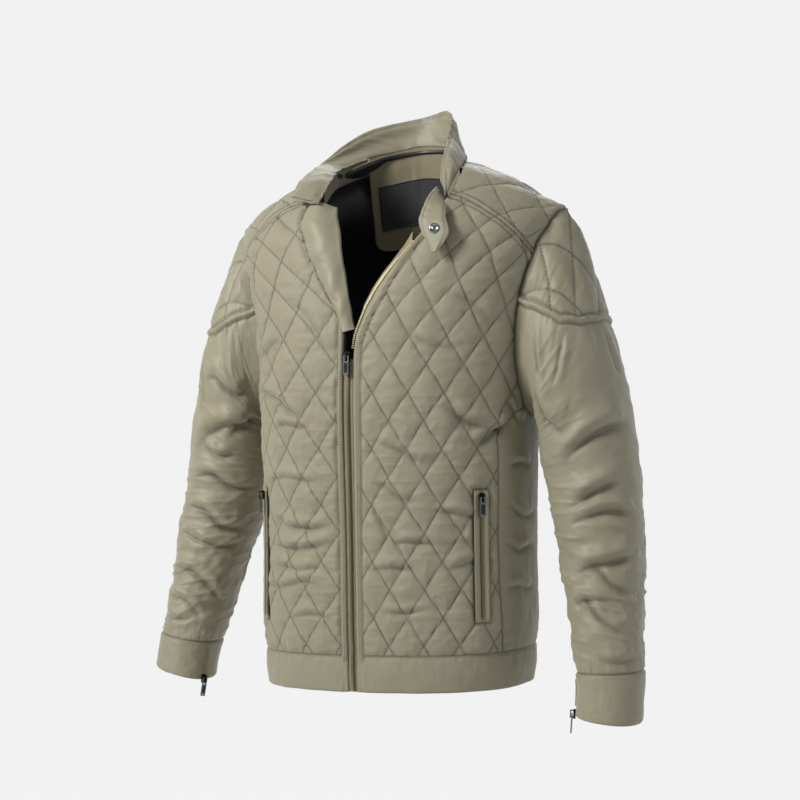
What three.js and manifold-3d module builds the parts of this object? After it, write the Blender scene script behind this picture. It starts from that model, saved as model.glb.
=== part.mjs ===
// Quilted jacket with a stand collar, standing open at the neck as if worn, with nobody in it.
// Millimetres. +Z up, the front faces -Y, the wearer's left is +X.
// The origin is the middle of the neck base, level with the collar seam on the shoulders.
import * as THREE from 'three';
import { mergeVertices } from 'three/addons/utils/BufferGeometryUtils.js';
import Module from 'manifold-3d';

const wasm = await Module();
wasm.setup();

const DEG = Math.PI / 180;

// Cloth
const WALL = 2.4;             // padded cloth with its lining, mm
const THIN_WALL = 0.8;        // wall at the armhole edge, where two panels meet at an angle
const SEAM_GAP = 0.3;
const PUFF = 3.2;             // rise of the quilting between its stitch lines
const HEM_TILT = 7.5;         // the hem hangs lower on the wearer's right
const BAND_HEIGHT = 43;       // hem band

// Body of the jacket: one ring a row, from the hem to the upper chest.
const RING_COLUMNS = ['sideX', 'sideY', 'sideZ', 'frontY', 'frontZ', 'backY', 'backZ', 'bulgeFront', 'bulgeBack'];
const BODY_RINGS = {
  hem: [168, 0, -634, -110, -634, 110, -634, 2.4, 2.5],
  bandMiddle: [171, 0, -612, -112, -612, 113, -610, 2.4, 2.5],
  bandTop: [171, 0, -588, -112, -588, 114, -586, 2.4, 2.5],
  hip: [173, 0, -552, -114, -552, 117, -552, 2.4, 2.5],
  waist: [172, 0, -450, -117, -450, 114, -450, 2.4, 2.5],
  ribs: [173, 0, -350, -121, -350, 116, -350, 2.5, 2.5],
  armpit: [176, 2, -290, -123, -290, 120, -280, 2.5, 2.5],
  lowArm: [180, 2, -226, -121, -226, 122, -215, 2.5, 2.5],
  chest: [190, 2, -165, -115, -168, 118, -155, 2.5, 2.5],
  upperChest: [204, 2, -118, -108, -122, 108, -100, 2.5, 2.5],
};
// Above the upper chest the cloth closes towards the shoulder ridge.
const RISE_COLUMNS = ['towardsRidge', 'upwards', 'halfWidth'];
const RISE = {
  start: [0, 0, 204],
  first: [0.07, 0.32, 209],
  second: [0.26, 0.64, 215],
  third: [0.58, 0.90, 221],
  ridge: [1, 1, 226],
};
// Shoulder ridge and neck line, by distance from the middle.
const RIDGE_COLUMNS = ['x', 'frontY', 'frontZ', 'backY', 'backZ'];
const RIDGE = {
  middle: [0, 22, -10, 68, 34],
  quarter: [50, 18, -4, 53, 27],
  neckPoint: [84, 13, 3, 13, 3],
  halfShoulder: [150, 6, -24, 6, -24],
  shoulderTip: [226, 0, -66, 0, -66],
};

// Sleeve: each ring lies across the arm between an outer and an inner point.
const SLEEVE_COLUMNS = ['outerX', 'outerZ', 'innerX', 'innerZ', 'middleY', 'halfFront', 'halfBack', 'armholeShare'];
const SLEEVE_RINGS = {
  armhole: [224, -66, 178, -306, 1, 50, 50, 1],
  capTop: [238, -92, 191, -308, 1, 56, 58, 0.72],
  capMiddle: [251, -132, 193, -313, 2, 62, 64, 0.42],
  capLow: [264, -178, 193, -320, 3, 65, 67, 0.18],
  biceps: [277, -226, 193, -331, 5, 66, 68, 0],
  upperArm: [291, -285, 193, -350, 8, 64, 66, 0],
  lowerUpperArm: [301, -345, 197, -380, 8, 61, 63, 0],
  elbow: [308, -405, 207, -422, 4, 56, 58, 0],
  forearm: [316, -490, 226, -496, -10, 49, 51, 0],
  wrist: [321, -560, 242, -566, -24, 43, 45, 0],
  cuffTop: [325, -610, 252, -612, -35, 39, 41, 0],
  cuffEdge: [325, -654, 254, -648, -44, 37, 39, 0],
};
const SLEEVE_ROUND = 2.25;
const RIGHT_CUFF_LIFT = { start: 9, outer: 13, inner: 1 };  // the wearer's right sleeve hangs a little higher

// Lines on the cloth in its own coordinates: u from the middle of the front, w up from the hem.
// The first column pair is the wearer's left, the second the wearer's right.
const ARMHOLE_LINE = [
  [205, 685], [204, 640], [203, 600], [202, 571], [194, 539], [191, 506], [189, 484], [189, 457],
  [190, 432], [193, 410], [197, 386], [206, 358], [218, 336], [236.5, 324],
];
const FACING_EDGE_LEFT = [[9, 452], [17, 472], [27, 491], [37, 508], [46, 523], [54, 540]];
const SIDE_SEAM = [[218, 336], [196, 321], [184, 310], [176, 295], [178, 270], [178, 223], [177, 176], [178, 129], [181, 81], [184, 43]];
const YOKE_SEAM = [[82, 586], [96, 586], [117, 577], [141, 563], [164, 542], [191, 506]];
const YOKE_SEAM_RIGHT = [[50, 590], [66, 588], ...YOKE_SEAM];
const BACK_SEAM = [[218, 336], [196, 321], [184, 310], [176, 295], [174, 270], [174, 43]];  // as if mirrored on the front
const NECK_LEFT = [[85, 604], [82, 632], [73, 660], [63, 684]];
const NECK_RIGHT = [[52, 606], [56, 640], [60, 665], [63, 684]];
const FRONT_EDGE_LEFT = [[11, 43], [11, 404], [18, 428], [25, 445], [34, 463], [42, 483], [51, 501], [58, 514], [64, 526]];
const FRONT_EDGE_RIGHT = [[17, 43], [17, 247], [15, 387], [15, 433], [22, 451], [41, 485], [59, 526], [70, 555], [66, 576]];
const TEETH_LEFT = [[3, 0], [3, 400], [5, 417], [14, 446], [24, 469], [34, 488], [44, 504], [52, 515], [59, 526]];
const ROLL_EDGE_RIGHT = [[-1, 424], [6, 459], [14, 498], [22, 546], [28, 566], [33, 584]];
const YOKE_WELT = 10;

const POCKET = { u: [146, 164], w: [80, 236] };
const CUFF_ZIP = 163;         // degrees round the arm from the outside

// Quilting: width and height of a diamond, and where the lattice starts.
const QUILT = {
  left: { width: 42, height: 65.2, u: 4, w: 55 },
  right: { width: 51, height: 65.2, u: 18.5, w: 55 },
  back: { width: 46, height: 65.2, u: 0, w: 55 },
  yoke: { width: 62, height: 92, u: 20, w: 580 },
};

// Collar: where it is sewn on and where its free edge lies, from the wearer's right end round the back to the left.
const COLLAR_COLUMNS = ['seamX', 'seamY', 'seamZ', 'edgeX', 'edgeY', 'edgeZ', 'bulge'];
const COLLAR = {
  rightEnd: [-60, -95, -53, -101, -93, -42, 5],
  rightFront: [-62, -69, -28, -105, -64, -18, 8],
  rightSide: [-71, -31, -5, -111, -24, 1, 9],
  rightPoint: [-81, 10, 8, -111, 8, 19, 9],
  rightBack: [-66, 42, 22, -92, 28, 42, 6],
  backRight: [-40, 60, 30, -62, 48, 62, 4],
  back: [0, 68, 36, 0, 73, 76, 3],
  backLeft: [40, 60, 30, 38, 57, 78, 3],
  leftBack: [64, 42, 21, 56, 33, 62, 3],
  leftPoint: [86, 13, 6, 66, 4, 36, 3],
  leftSide: [99, -26, -8, 76, -25, 16, 3],
  leftFront: [105, -55, -24, 83, -51, -9, 3],
  leftEnd: [105, -86, -54, 90, -68, -32, 2],
};

const COLOUR = {
  cloth: 0x9b9577, clothLight: 0xa7a183, lining: 0x17171a, label: 0x2c2c30,
  brass: 0xb7a878, chrome: 0xb9bbc0, enamel: 0x0d0d0e,
};
const cloth = () => new THREE.MeshStandardMaterial({ color: COLOUR.cloth, roughness: 0.55, metalness: 0, side: THREE.DoubleSide });
const plainCloth = () => new THREE.MeshStandardMaterial({ color: COLOUR.clothLight, roughness: 0.5, metalness: 0 });
const satin = () => new THREE.MeshStandardMaterial({ color: COLOUR.lining, roughness: 0.35, metalness: 0 });
const woven = () => new THREE.MeshStandardMaterial({ color: COLOUR.label, roughness: 0.6, metalness: 0 });
const brass = () => new THREE.MeshStandardMaterial({ color: COLOUR.brass, roughness: 0.35, metalness: 0.9 });
const chrome = () => new THREE.MeshStandardMaterial({ color: COLOUR.chrome, roughness: 0.2, metalness: 1 });
const enamel = () => new THREE.MeshStandardMaterial({ color: COLOUR.enamel, roughness: 0.25, metalness: 0.1 });

const jacket = new THREE.Group();

function addMesh(name, geometry, material) {
  const mesh = new THREE.Mesh(geometry, material);
  mesh.name = name;
  jacket.add(mesh);
  return mesh;
}

// Numbers
const clamp = (x, low, high) => Math.min(high, Math.max(low, x));
const signedPower = (x, e) => Math.sign(x) * Math.abs(x) ** e;
const mix = (a, b, t) => a + (b - a) * t;

function interpolate(x, xs, ys) {
  if (x <= xs[0]) return ys[0];
  const last = xs.length - 1;
  if (x >= xs[last]) return ys[last];
  let low = 0;
  let high = last;
  while (high - low > 1) {
    const middle = (low + high) >> 1;
    if (xs[middle] > x) high = middle; else low = middle;
  }
  return mix(ys[low], ys[high], (x - xs[low]) / (xs[high] - xs[low]));
}

// A smooth row between the rows of a table, as an object with the table's columns.
function spline(rows, columns, position) {
  const v = clamp(position, 0, rows.length - 1);
  const i = Math.min(Math.floor(v), rows.length - 2);
  const t = v - i;
  const p0 = rows[Math.max(i - 1, 0)];
  const p1 = rows[i];
  const p2 = rows[i + 1];
  const p3 = rows[Math.min(i + 2, rows.length - 1)];
  const out = {};
  columns.forEach((column, k) => {
    out[column] = 0.5 * (2 * p1[k] + (p2[k] - p0[k]) * t
      + (2 * p0[k] - 5 * p1[k] + 4 * p2[k] - p3[k]) * t * t
      + (3 * p1[k] - p0[k] - 3 * p2[k] + p3[k]) * t * t * t);
  });
  return out;
}

// Form of the body
const bodyRows = Object.values(BODY_RINGS);
const riseRows = Object.values(RISE);
const ridgeRows = Object.values(RIDGE);
const LOW = bodyRows.length - 1;
const TOP = LOW + riseRows.length - 1;
const ridgeX = ridgeRows.map((row) => row[0]);
const ridgeIndex = ridgeRows.map((row, i) => i);

function ridgeAt(x, front) {
  const row = spline(ridgeRows, RIDGE_COLUMNS, interpolate(Math.abs(x), ridgeX, ridgeIndex));
  return front ? { y: row.frontY, z: row.frontZ } : { y: row.backY, z: row.backZ };
}

function bodyPoint(phi, v) {
  const r = spline(bodyRows, RING_COLUMNS, Math.min(v, LOW));
  const s = Math.sin(phi);
  const c = Math.cos(phi);
  const front = c >= 0;
  const e = 2 / (front ? r.bulgeFront : r.bulgeBack);
  const share = Math.abs(c);
  let x = r.sideX * signedPower(s, e);
  let y = r.sideY + ((front ? r.frontY : r.backY) - r.sideY) * share ** e;
  let z = r.sideZ + ((front ? r.frontZ : r.backZ) - r.sideZ) * share ** 1.6;
  if (v > LOW) {
    const q = spline(riseRows, RISE_COLUMNS, v - LOW);
    x *= q.halfWidth / r.sideX;
    const ridge = ridgeAt(x, front);
    y = mix(y, ridge.y, q.towardsRidge);
    z = mix(z, ridge.z, q.upwards);
  }
  z += HEM_TILT * x / 170 * clamp((-z - 350) / 230, 0, 1);
  return new THREE.Vector3(x, y, z);
}

function normalOf(surface, a, b, stepA, stepB, lowB, highB) {
  const alongA = surface(a + stepA, b).sub(surface(a - stepA, b));
  const alongB = surface(a, Math.min(b + stepB, highB)).sub(surface(a, Math.max(b - stepB, lowB)));
  return alongA.cross(alongB).normalize();
}

// Cloth coordinates: the girth at the waist, and the height up one column, for the front and the back.
function arcTable(count, pointAt, flat) {
  const at = [0];
  const run = [0];
  let before = pointAt(0);
  for (let i = 1; i <= count; i += 1) {
    const here = pointAt(i / count);
    const step = here.clone().sub(before);
    if (flat) step.z = 0;
    at.push(i / count);
    run.push(run[i - 1] + step.length());
    before = here;
  }
  return { at, run };
}
const WAIST_ROW = Object.keys(BODY_RINGS).indexOf('waist');
const girthFront = arcTable(360, (t) => bodyPoint(t * Math.PI, WAIST_ROW), true);
const girthBack = arcTable(360, (t) => bodyPoint((1 - t) * Math.PI, WAIST_ROW), true);
const heightFront = arcTable(600, (t) => bodyPoint(25 * DEG, t * TOP), false);
const heightBack = arcTable(600, (t) => bodyPoint(155 * DEG, t * TOP), false);

const frontPhi = (u) => Math.sign(u) * interpolate(Math.abs(u), girthFront.run, girthFront.at) * Math.PI;
const frontRow = (w) => interpolate(w, heightFront.run, heightFront.at) * TOP;
const backPhi = (u) => Math.PI - Math.sign(u) * interpolate(Math.abs(u), girthBack.run, girthBack.at) * Math.PI;
const backRow = (w) => interpolate(w, heightBack.run, heightBack.at) * TOP;
// A point of the front's coordinates, mirrored front to back, in the back's coordinates.
const backW = (w) => interpolate(frontRow(w) / TOP, heightBack.at, heightBack.run);
function mirroredToBack([u, w]) {
  const phi = Math.PI - frontPhi(u);
  return [interpolate(1 - phi / Math.PI, girthBack.at, girthBack.run), backW(w)];
}

function frontSurface(u, w, offset) {
  const phi = frontPhi(u);
  const v = frontRow(w);
  const n = normalOf(bodyPoint, phi, v, 0.01, 0.03, 0, TOP);
  return bodyPoint(phi, v).addScaledVector(n, offset);
}
function backSurface(u, w, offset) {
  const phi = backPhi(u);
  const v = backRow(w);
  const n = normalOf(bodyPoint, phi, v, 0.01, 0.03, 0, TOP);
  return bodyPoint(phi, v).addScaledVector(n, offset);
}

// Form of a sleeve: psi 0 on the outside, 90 at the front, 180 under the arm.
const sleeveRows = Object.values(SLEEVE_RINGS);
const SLEEVE_END = sleeveRows.length - 1;
const CUFF_ROW = Object.keys(SLEEVE_RINGS).indexOf('cuffTop');
const armholePath = (() => {
  const points = ARMHOLE_LINE.map(([u, w]) => [frontPhi(u), frontRow(w)]);
  const length = [0];
  for (let i = 1; i < points.length; i += 1) {
    const step = bodyPoint(...points[i]).distanceTo(bodyPoint(...points[i - 1]));
    length.push(length[i - 1] + step);
  }
  const total = length[length.length - 1];
  return { share: length.map((l) => l / total), phi: points.map((p) => p[0]), row: points.map((p) => p[1]) };
})();

function armholePoint(psi) {
  const share = Math.abs(psi) / Math.PI;
  const phi = interpolate(share, armholePath.share, armholePath.phi);
  const row = interpolate(share, armholePath.share, armholePath.row);
  return bodyPoint(psi >= 0 ? phi : Math.PI - phi, row);
}

function sleeveRing(r, psi) {
  const s = Math.sin(psi);
  const c = signedPower(Math.cos(psi), 2 / SLEEVE_ROUND);
  const half = s > 0 ? r.halfFront : r.halfBack;
  return new THREE.Vector3(
    (r.outerX + r.innerX) / 2 + (r.outerX - r.innerX) / 2 * c,
    r.middleY - half * signedPower(s, 2 / SLEEVE_ROUND),
    (r.outerZ + r.innerZ) / 2 + (r.outerZ - r.innerZ) / 2 * c,
  );
}

function sleevePoint(psi, t) {
  const r = spline(sleeveRows, SLEEVE_COLUMNS, t);
  const point = sleeveRing(r, psi);
  const share = clamp(r.armholeShare, 0, 1);
  if (share > 0) {
    const base = sleeveRing(spline(sleeveRows, SLEEVE_COLUMNS, 0), psi);
    point.addScaledVector(armholePoint(psi).sub(base), share);
  }
  return point;
}

function sleeveSurface(psi, t, offset, side) {
  const n = normalOf(sleevePoint, psi, t, 0.02, 0.04, 0, SLEEVE_END);
  const point = sleevePoint(psi, t).addScaledVector(n, offset);
  if (side < 0) {
    const lift = clamp((t - RIGHT_CUFF_LIFT.start) / (SLEEVE_END - RIGHT_CUFF_LIFT.start), 0, 1);
    point.z += lift * mix(RIGHT_CUFF_LIFT.inner, RIGHT_CUFF_LIFT.outer * 2, 0.5 + 0.5 * Math.cos(psi));
    point.x = -point.x;
  }
  return point;
}

// Solids
function makeGeometry(positions, triangles, flip) {
  const index = [];
  for (let i = 0; i < triangles.length; i += 3) {
    if (flip) index.push(triangles[i], triangles[i + 2], triangles[i + 1]);
    else index.push(triangles[i], triangles[i + 1], triangles[i + 2]);
  }
  const geometry = new THREE.BufferGeometry();
  geometry.setAttribute('position', new THREE.BufferAttribute(new Float32Array(positions), 3));
  geometry.setIndex(index);
  if (signedVolume(geometry) < 0) {
    const turned = geometry.index.array;
    for (let i = 0; i < turned.length; i += 3) [turned[i + 1], turned[i + 2]] = [turned[i + 2], turned[i + 1]];
  }
  geometry.computeVertexNormals();
  return geometry;
}

function signedVolume(geometry) {
  const p = geometry.attributes.position;
  const t = geometry.index.array;
  const a = new THREE.Vector3();
  const b = new THREE.Vector3();
  const c = new THREE.Vector3();
  let sum = 0;
  for (let i = 0; i < t.length; i += 3) {
    a.fromBufferAttribute(p, t[i]);
    b.fromBufferAttribute(p, t[i + 1]);
    c.fromBufferAttribute(p, t[i + 2]);
    sum += a.dot(b.cross(c));
  }
  return sum / 6;
}

function toManifold(geometry) {
  const bare = geometry.clone();
  bare.deleteAttribute('normal');
  bare.deleteAttribute('uv');
  const merged = mergeVertices(bare, 1e-4);
  return new wasm.Manifold(new wasm.Mesh({
    numProp: 3,
    vertProperties: new Float32Array(merged.attributes.position.array),
    triVerts: new Uint32Array(merged.index.array),
  }));
}

// A flat slab of cloth over a lattice. It is dished a little, so that its small faces stay apart when it is cut.
const SLAB = 3;
const dish = (u, w) => 0.0004 * (u * u + w * w);
function slab(lattice, box) {
  const { stepU, stepW, u0, w0, coarse } = lattice;
  const i0 = 2 * coarse * Math.floor((box.u[0] - u0) / stepU / 2 / coarse - 0.5);
  const i1 = 2 * coarse * Math.ceil((box.u[1] - u0) / stepU / 2 / coarse + 0.5);
  const j0 = 2 * coarse * Math.floor((box.w[0] - w0) / stepW / 2 / coarse - 0.5);
  const j1 = 2 * coarse * Math.ceil((box.w[1] - w0) / stepW / 2 / coarse + 0.5);
  const positions = [];
  const triangles = [];
  const ids = new Map();
  const vertex = (i, j, top) => {
    const key = `${i},${j},${top}`;
    if (!ids.has(key)) {
      const u = u0 + i * stepU;
      const w = w0 + j * stepW;
      ids.set(key, positions.length / 3);
      positions.push(u, w, dish(u, w) + (top ? SLAB : 0));
    }
    return ids.get(key);
  };
  const quarters = (n) => ((n % 4) + 4) % 4;
  const rising = (i, j) => (lattice.half ? quarters(i + j) % 2 === 0 : quarters(i - j) === 0 || quarters(i + j) === 1);
  for (let i = i0; i < i1; i += 1) {
    for (let j = j0; j < j1; j += 1) {
      const [a, b, c, d] = [vertex(i, j, 1), vertex(i + 1, j, 1), vertex(i + 1, j + 1, 1), vertex(i, j + 1, 1)];
      if (rising(i, j)) triangles.push(a, b, c, a, c, d);
      else triangles.push(a, b, d, b, c, d);
    }
  }
  for (let i = i0; i < i1; i += coarse) {
    for (let j = j0; j < j1; j += coarse) {
      const [a, b] = [vertex(i, j, 0), vertex(i + coarse, j, 0)];
      const [c, d] = [vertex(i + coarse, j + coarse, 0), vertex(i, j + coarse, 0)];
      triangles.push(a, c, b, a, d, c);
    }
  }
  const wall = (from, step, count) => {
    for (let k = 0; k < count; k += coarse) {
      const at = (n, top) => vertex(from[0] + step[0] * n, from[1] + step[1] * n, top);
      triangles.push(at(k, 0), at(k + coarse, 0), at(k + coarse, 1));
      for (let m = coarse; m > 0; m -= 1) triangles.push(at(k, 0), at(k + m, 1), at(k + m - 1, 1));
    }
  };
  wall([i0, j0], [1, 0], i1 - i0);
  wall([i1, j0], [0, 1], j1 - j0);
  wall([i1, j1], [-1, 0], i1 - i0);
  wall([i0, j1], [0, -1], j1 - j0);
  const geometry = new THREE.BufferGeometry();
  geometry.setAttribute('position', new THREE.BufferAttribute(new Float32Array(positions), 3));
  geometry.setIndex(triangles);
  return toManifold(geometry);
}

// Signed shrink of a polygon by a small distance, corner by corner.
function inset(corners, distance) {
  const polygon = corners.filter(([x, y], i) => {
    const [xa, ya] = corners[(i + corners.length - 1) % corners.length];
    return Math.hypot(x - xa, y - ya) > 0.5;
  });
  const area = polygon.reduce((sum, [x, y], i) => {
    const [x2, y2] = polygon[(i + 1) % polygon.length];
    return sum + x * y2 - x2 * y;
  }, 0);
  const ring = area > 0 ? polygon : [...polygon].reverse();
  return ring.map(([x, y], i) => {
    const [xa, ya] = ring[(i + ring.length - 1) % ring.length];
    const [xb, yb] = ring[(i + 1) % ring.length];
    const before = new THREE.Vector2(x - xa, y - ya).normalize();
    const after = new THREE.Vector2(xb - x, yb - y).normalize();
    const n1 = new THREE.Vector2(-before.y, before.x);
    const n2 = new THREE.Vector2(-after.y, after.x);
    const sum = n1.clone().add(n2);
    const scale = distance / Math.max(0.5, 1 + n1.dot(n2)) ;
    return [x + sum.x * scale, y + sum.y * scale];
  });
}

function subdivide(line, step) {
  const out = [line[0]];
  for (let i = 1; i < line.length; i += 1) {
    const [x0, y0] = line[i - 1];
    const [x1, y1] = line[i];
    const count = Math.max(1, Math.round(Math.hypot(x1 - x0, y1 - y0) / step));
    for (let k = 1; k <= count; k += 1) out.push([mix(x0, x1, k / count), mix(y0, y1, k / count)]);
  }
  return out;
}

function nearLine(u, w, line, reach) {
  for (let i = 1; i < line.length; i += 1) {
    const [x0, y0] = line[i - 1];
    const [x1, y1] = line[i];
    const t = clamp(((u - x0) * (x1 - x0) + (w - y0) * (y1 - y0)) / ((x1 - x0) ** 2 + (y1 - y0) ** 2), 0, 1);
    if (Math.hypot(u - mix(x0, x1, t), w - mix(y0, y1, t)) < reach) return true;
  }
  return false;
}

// Height of the padding between its stitch lines, 0 to 1.
function puff(u, w, q) {
  const a = (u - q.u) / q.width;
  const b = (w - q.w) / q.height;
  const rising = Math.abs(a + b - Math.round(a + b));
  const falling = Math.abs(a - b - Math.round(a - b));
  const d = 2 * Math.min(rising, falling);
  return d < 0.5 ? 1.4 * d : 0.7 + 0.6 * (d - 0.5);
}

// A panel of cloth: a polygon of the slab, cut out and laid on the form.
function panel(polygon, { lattice, place, quilt, thin, hole, gap = SEAM_GAP / 2, wall = WALL, seat = 0 }) {
  const cut = inset(polygon, gap);
  const us = cut.map((p) => p[0]);
  const ws = cut.map((p) => p[1]);
  const box = { u: [Math.min(...us), Math.max(...us)], w: [Math.min(...ws), Math.max(...ws)] };
  const shape = new THREE.Shape(cut.map(([u, w]) => new THREE.Vector2(u, w)));
  if (hole) shape.holes.push(new THREE.Path(hole.map(([u, w]) => new THREE.Vector2(u, w))));
  const prism = new THREE.ExtrudeGeometry(shape, { depth: 700, bevelEnabled: false, steps: 1 });
  prism.translate(0, 0, -100);
  const piece = slab(lattice, box).intersect(toManifold(prism));
  const mesh = piece.getMesh();
  const positions = [];
  for (let i = 0; i < mesh.vertProperties.length; i += 3) {
    const [u, w, z] = mesh.vertProperties.slice(i, i + 3);
    const outer = z - dish(u, w) > SLAB / 2;
    const onEdge = nearLine(u, w, [...cut, cut[0]], 0.2) || (hole && nearLine(u, w, [...hole, hole[0]], 0.2));
    let offset = outer ? 0 : -wall;
    if (outer && quilt && !onEdge) offset = PUFF * puff(u, w, quilt) * (thin && nearLine(u, w, thin, 9) ? 0.3 : 1);
    if (!outer && thin && nearLine(u, w, thin, 1.2)) offset = -THIN_WALL;
    positions.push(...place(u, w, offset + seat).toArray());
  }
  return makeGeometry(positions, [...mesh.triVerts]);
}

// A closed shell between a grid of outer points and one of inner points. grid[i][j], rows i.
function shell(outer, inner) {
  const rows = outer.length;
  const columns = outer[0].length;
  const positions = [];
  for (const grid of [outer, inner]) for (const row of grid) for (const p of row) positions.push(p.x, p.y, p.z);
  const at = (side, i, j) => side * rows * columns + i * columns + j;
  const triangles = [];
  for (let i = 0; i < rows - 1; i += 1) {
    for (let j = 0; j < columns - 1; j += 1) {
      triangles.push(at(0, i, j), at(0, i, j + 1), at(0, i + 1, j + 1), at(0, i, j), at(0, i + 1, j + 1), at(0, i + 1, j));
      triangles.push(at(1, i, j), at(1, i + 1, j + 1), at(1, i, j + 1), at(1, i, j), at(1, i + 1, j), at(1, i + 1, j + 1));
    }
  }
  const edge = [];
  for (let j = 0; j < columns - 1; j += 1) edge.push([0, j, 0, j + 1]);
  for (let i = 0; i < rows - 1; i += 1) edge.push([i, columns - 1, i + 1, columns - 1]);
  for (let j = columns - 1; j > 0; j -= 1) edge.push([rows - 1, j, rows - 1, j - 1]);
  for (let i = rows - 1; i > 0; i -= 1) edge.push([i, 0, i - 1, 0]);
  for (const [i, j, i2, j2] of edge) {
    triangles.push(at(0, i, j), at(1, i, j), at(1, i2, j2), at(0, i, j), at(1, i2, j2), at(0, i2, j2));
  }
  return makeGeometry(positions, triangles);
}

// A strip between two lines of the cloth, with its own rise across.
function strip(lineA, lineB, step, across, place, profile, thickness) {
  const runOf = (line) => {
    const run = [0];
    for (let i = 1; i < line.length; i += 1) {
      run.push(run[i - 1] + Math.hypot(line[i][0] - line[i - 1][0], line[i][1] - line[i - 1][1]));
    }
    return run.map((r) => r / run[run.length - 1]);
  };
  const first = subdivide(lineA, step);
  const firstRun = runOf(first);
  const otherRun = runOf(lineB);
  const outer = [];
  const inner = [];
  for (let i = 0; i < first.length; i += 1) {
    const [ua, wa] = first[i];
    const ub = interpolate(firstRun[i], otherRun, lineB.map((p) => p[0]));
    const wb = interpolate(firstRun[i], otherRun, lineB.map((p) => p[1]));
    const top = [];
    const bottom = [];
    for (let j = 0; j <= across; j += 1) {
      const s = j / across;
      const rise = profile(s, firstRun[i]);
      top.push(place(mix(ua, ub, s), mix(wa, wb, s), rise));
      bottom.push(place(mix(ua, ub, s), mix(wa, wb, s), rise - thickness));
    }
    outer.push(top);
    inner.push(bottom);
  }
  return shell(outer, inner);
}

const mirrorLine = (line) => line.map(([u, w]) => [-u, w]);
const scaledLattice = (q) => ({ stepU: q.width / 4, stepW: q.height / 4, u0: q.u, w0: q.w, coarse: 2 });
const halfLattice = (q) => ({ stepU: q.width / 2, stepW: q.height / 2, u0: q.u, w0: q.w, coarse: 1, half: true });
const plainLattice = { stepU: 22, stepW: 36, u0: 4, w0: 0, coarse: 1 };
const offsetLine = (line, du, dw) => line.map(([u, w]) => [u + du, w + dw]);
const reversed = (line) => [...line].reverse();

// Body panels
const RIDGE_W = 684;
const beyondSide = ([u, w]) => [interpolate(1 - frontPhi(u) / Math.PI, girthFront.at, girthFront.run), w];
const ridgeLine = subdivide([[63, RIDGE_W], [204.5, RIDGE_W]], 24).map(([u, w], i) => [u, w - 0.02 * (i % 2)]);
const BACK_TOP = heightBack.run[heightBack.run.length - 1] - 0.9;
const BAND_TOP_BACK = backW(BAND_HEIGHT);

for (const side of [1, -1]) {
  const name = side > 0 ? 'left' : 'right';
  const edge = side > 0 ? FRONT_EDGE_LEFT : FRONT_EDGE_RIGHT;
  const turn = side > 0 ? (line) => line : mirrorLine;
  const seam = side > 0 ? YOKE_SEAM : YOKE_SEAM_RIGHT;
  const quilt = side > 0 ? QUILT.left : { ...QUILT.right, u: -QUILT.right.u };
  const yokeQuilt = { ...QUILT.yoke, u: side * QUILT.yoke.u };
  const thin = turn([...ARMHOLE_LINE, ...ridgeLine]);
  const weltLow = offsetLine(seam, 0, -YOKE_WELT / 2);
  const weltHigh = offsetLine(seam, 0, YOKE_WELT / 2);
  const neckStart = side > 0 ? [[64, 535], [70, 548], [79, 564]] : [];
  const arm = ARMHOLE_LINE.filter((p) => p[1] < 500 && p[1] > 336);
  const pocket = [[POCKET.u[0], POCKET.w[0]], [POCKET.u[1], POCKET.w[0]], [POCKET.u[1], POCKET.w[1]], [POCKET.u[0], POCKET.w[1]]];
  addMesh(`front_${name}`, panel(turn([...edge, ...neckStart, ...weltLow, ...arm, ...SIDE_SEAM]), {
    lattice: scaledLattice(quilt), place: frontSurface, quilt, thin, hole: turn(pocket),
  }), cloth());

  const armTop = ARMHOLE_LINE.filter((p) => p[1] > 511 && p[1] < 684);
  const neck = side > 0 ? NECK_LEFT : NECK_RIGHT;
  addMesh(`yoke_${name}`, panel(turn([...weltHigh, ...reversed(armTop), ...reversed(ridgeLine), ...reversed(neck)]), {
    lattice: scaledLattice(yokeQuilt), place: frontSurface, quilt: yokeQuilt, thin,
  }), cloth());

  const inSeam = (line) => subdivide(line, 6).filter(([u], i) => i % 2 === 0 && Math.abs(u) < 185 && Math.abs(u) > (side > 0 ? 84 : 51));
  const low = inSeam(turn(offsetLine(seam, 0, -YOKE_WELT / 2 + 0.8)));
  const high = inSeam(turn(offsetLine(seam, 0, YOKE_WELT / 2 - 0.8)));
  addMesh(`yoke_welt_${name}`, strip(low, high, 60, 4, frontSurface,
    (s) => 0.4 + 2.2 * Math.abs(Math.sin(2 * Math.PI * s)) ** 0.6, 2), plainCloth());

  const backSeam = BACK_SEAM.map(beyondSide);
  const armBottom = [...ARMHOLE_LINE.filter((p) => p[1] < 336), ...ARMHOLE_LINE.slice(-2, -1).map(beyondSide)];
  const armBottomThin = [...ARMHOLE_LINE, ...ARMHOLE_LINE.slice(0, -1).reverse().map(beyondSide)];
  addMesh(`side_${name}`, panel(turn([...reversed(SIDE_SEAM), ...armBottom, ...backSeam.slice(1)]), {
    lattice: plainLattice, place: frontSurface, thin: turn(armBottomThin),
  }), plainCloth());

  const bandEnd = backSeam[backSeam.length - 1][0];
  const bandTop = subdivide([[edge[0][0], BAND_HEIGHT], [bandEnd, BAND_HEIGHT]], 22).map(([u, w], i) => [u, w - 0.01 * (i % 2)]);
  addMesh(`hem_${name}`, panel(turn([[edge[0][0], 0.2], [bandEnd, 0.2], ...reversed(bandTop)]), {
    lattice: plainLattice, place: frontSurface, seat: 0.6,
  }), plainCloth());
}

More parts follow.
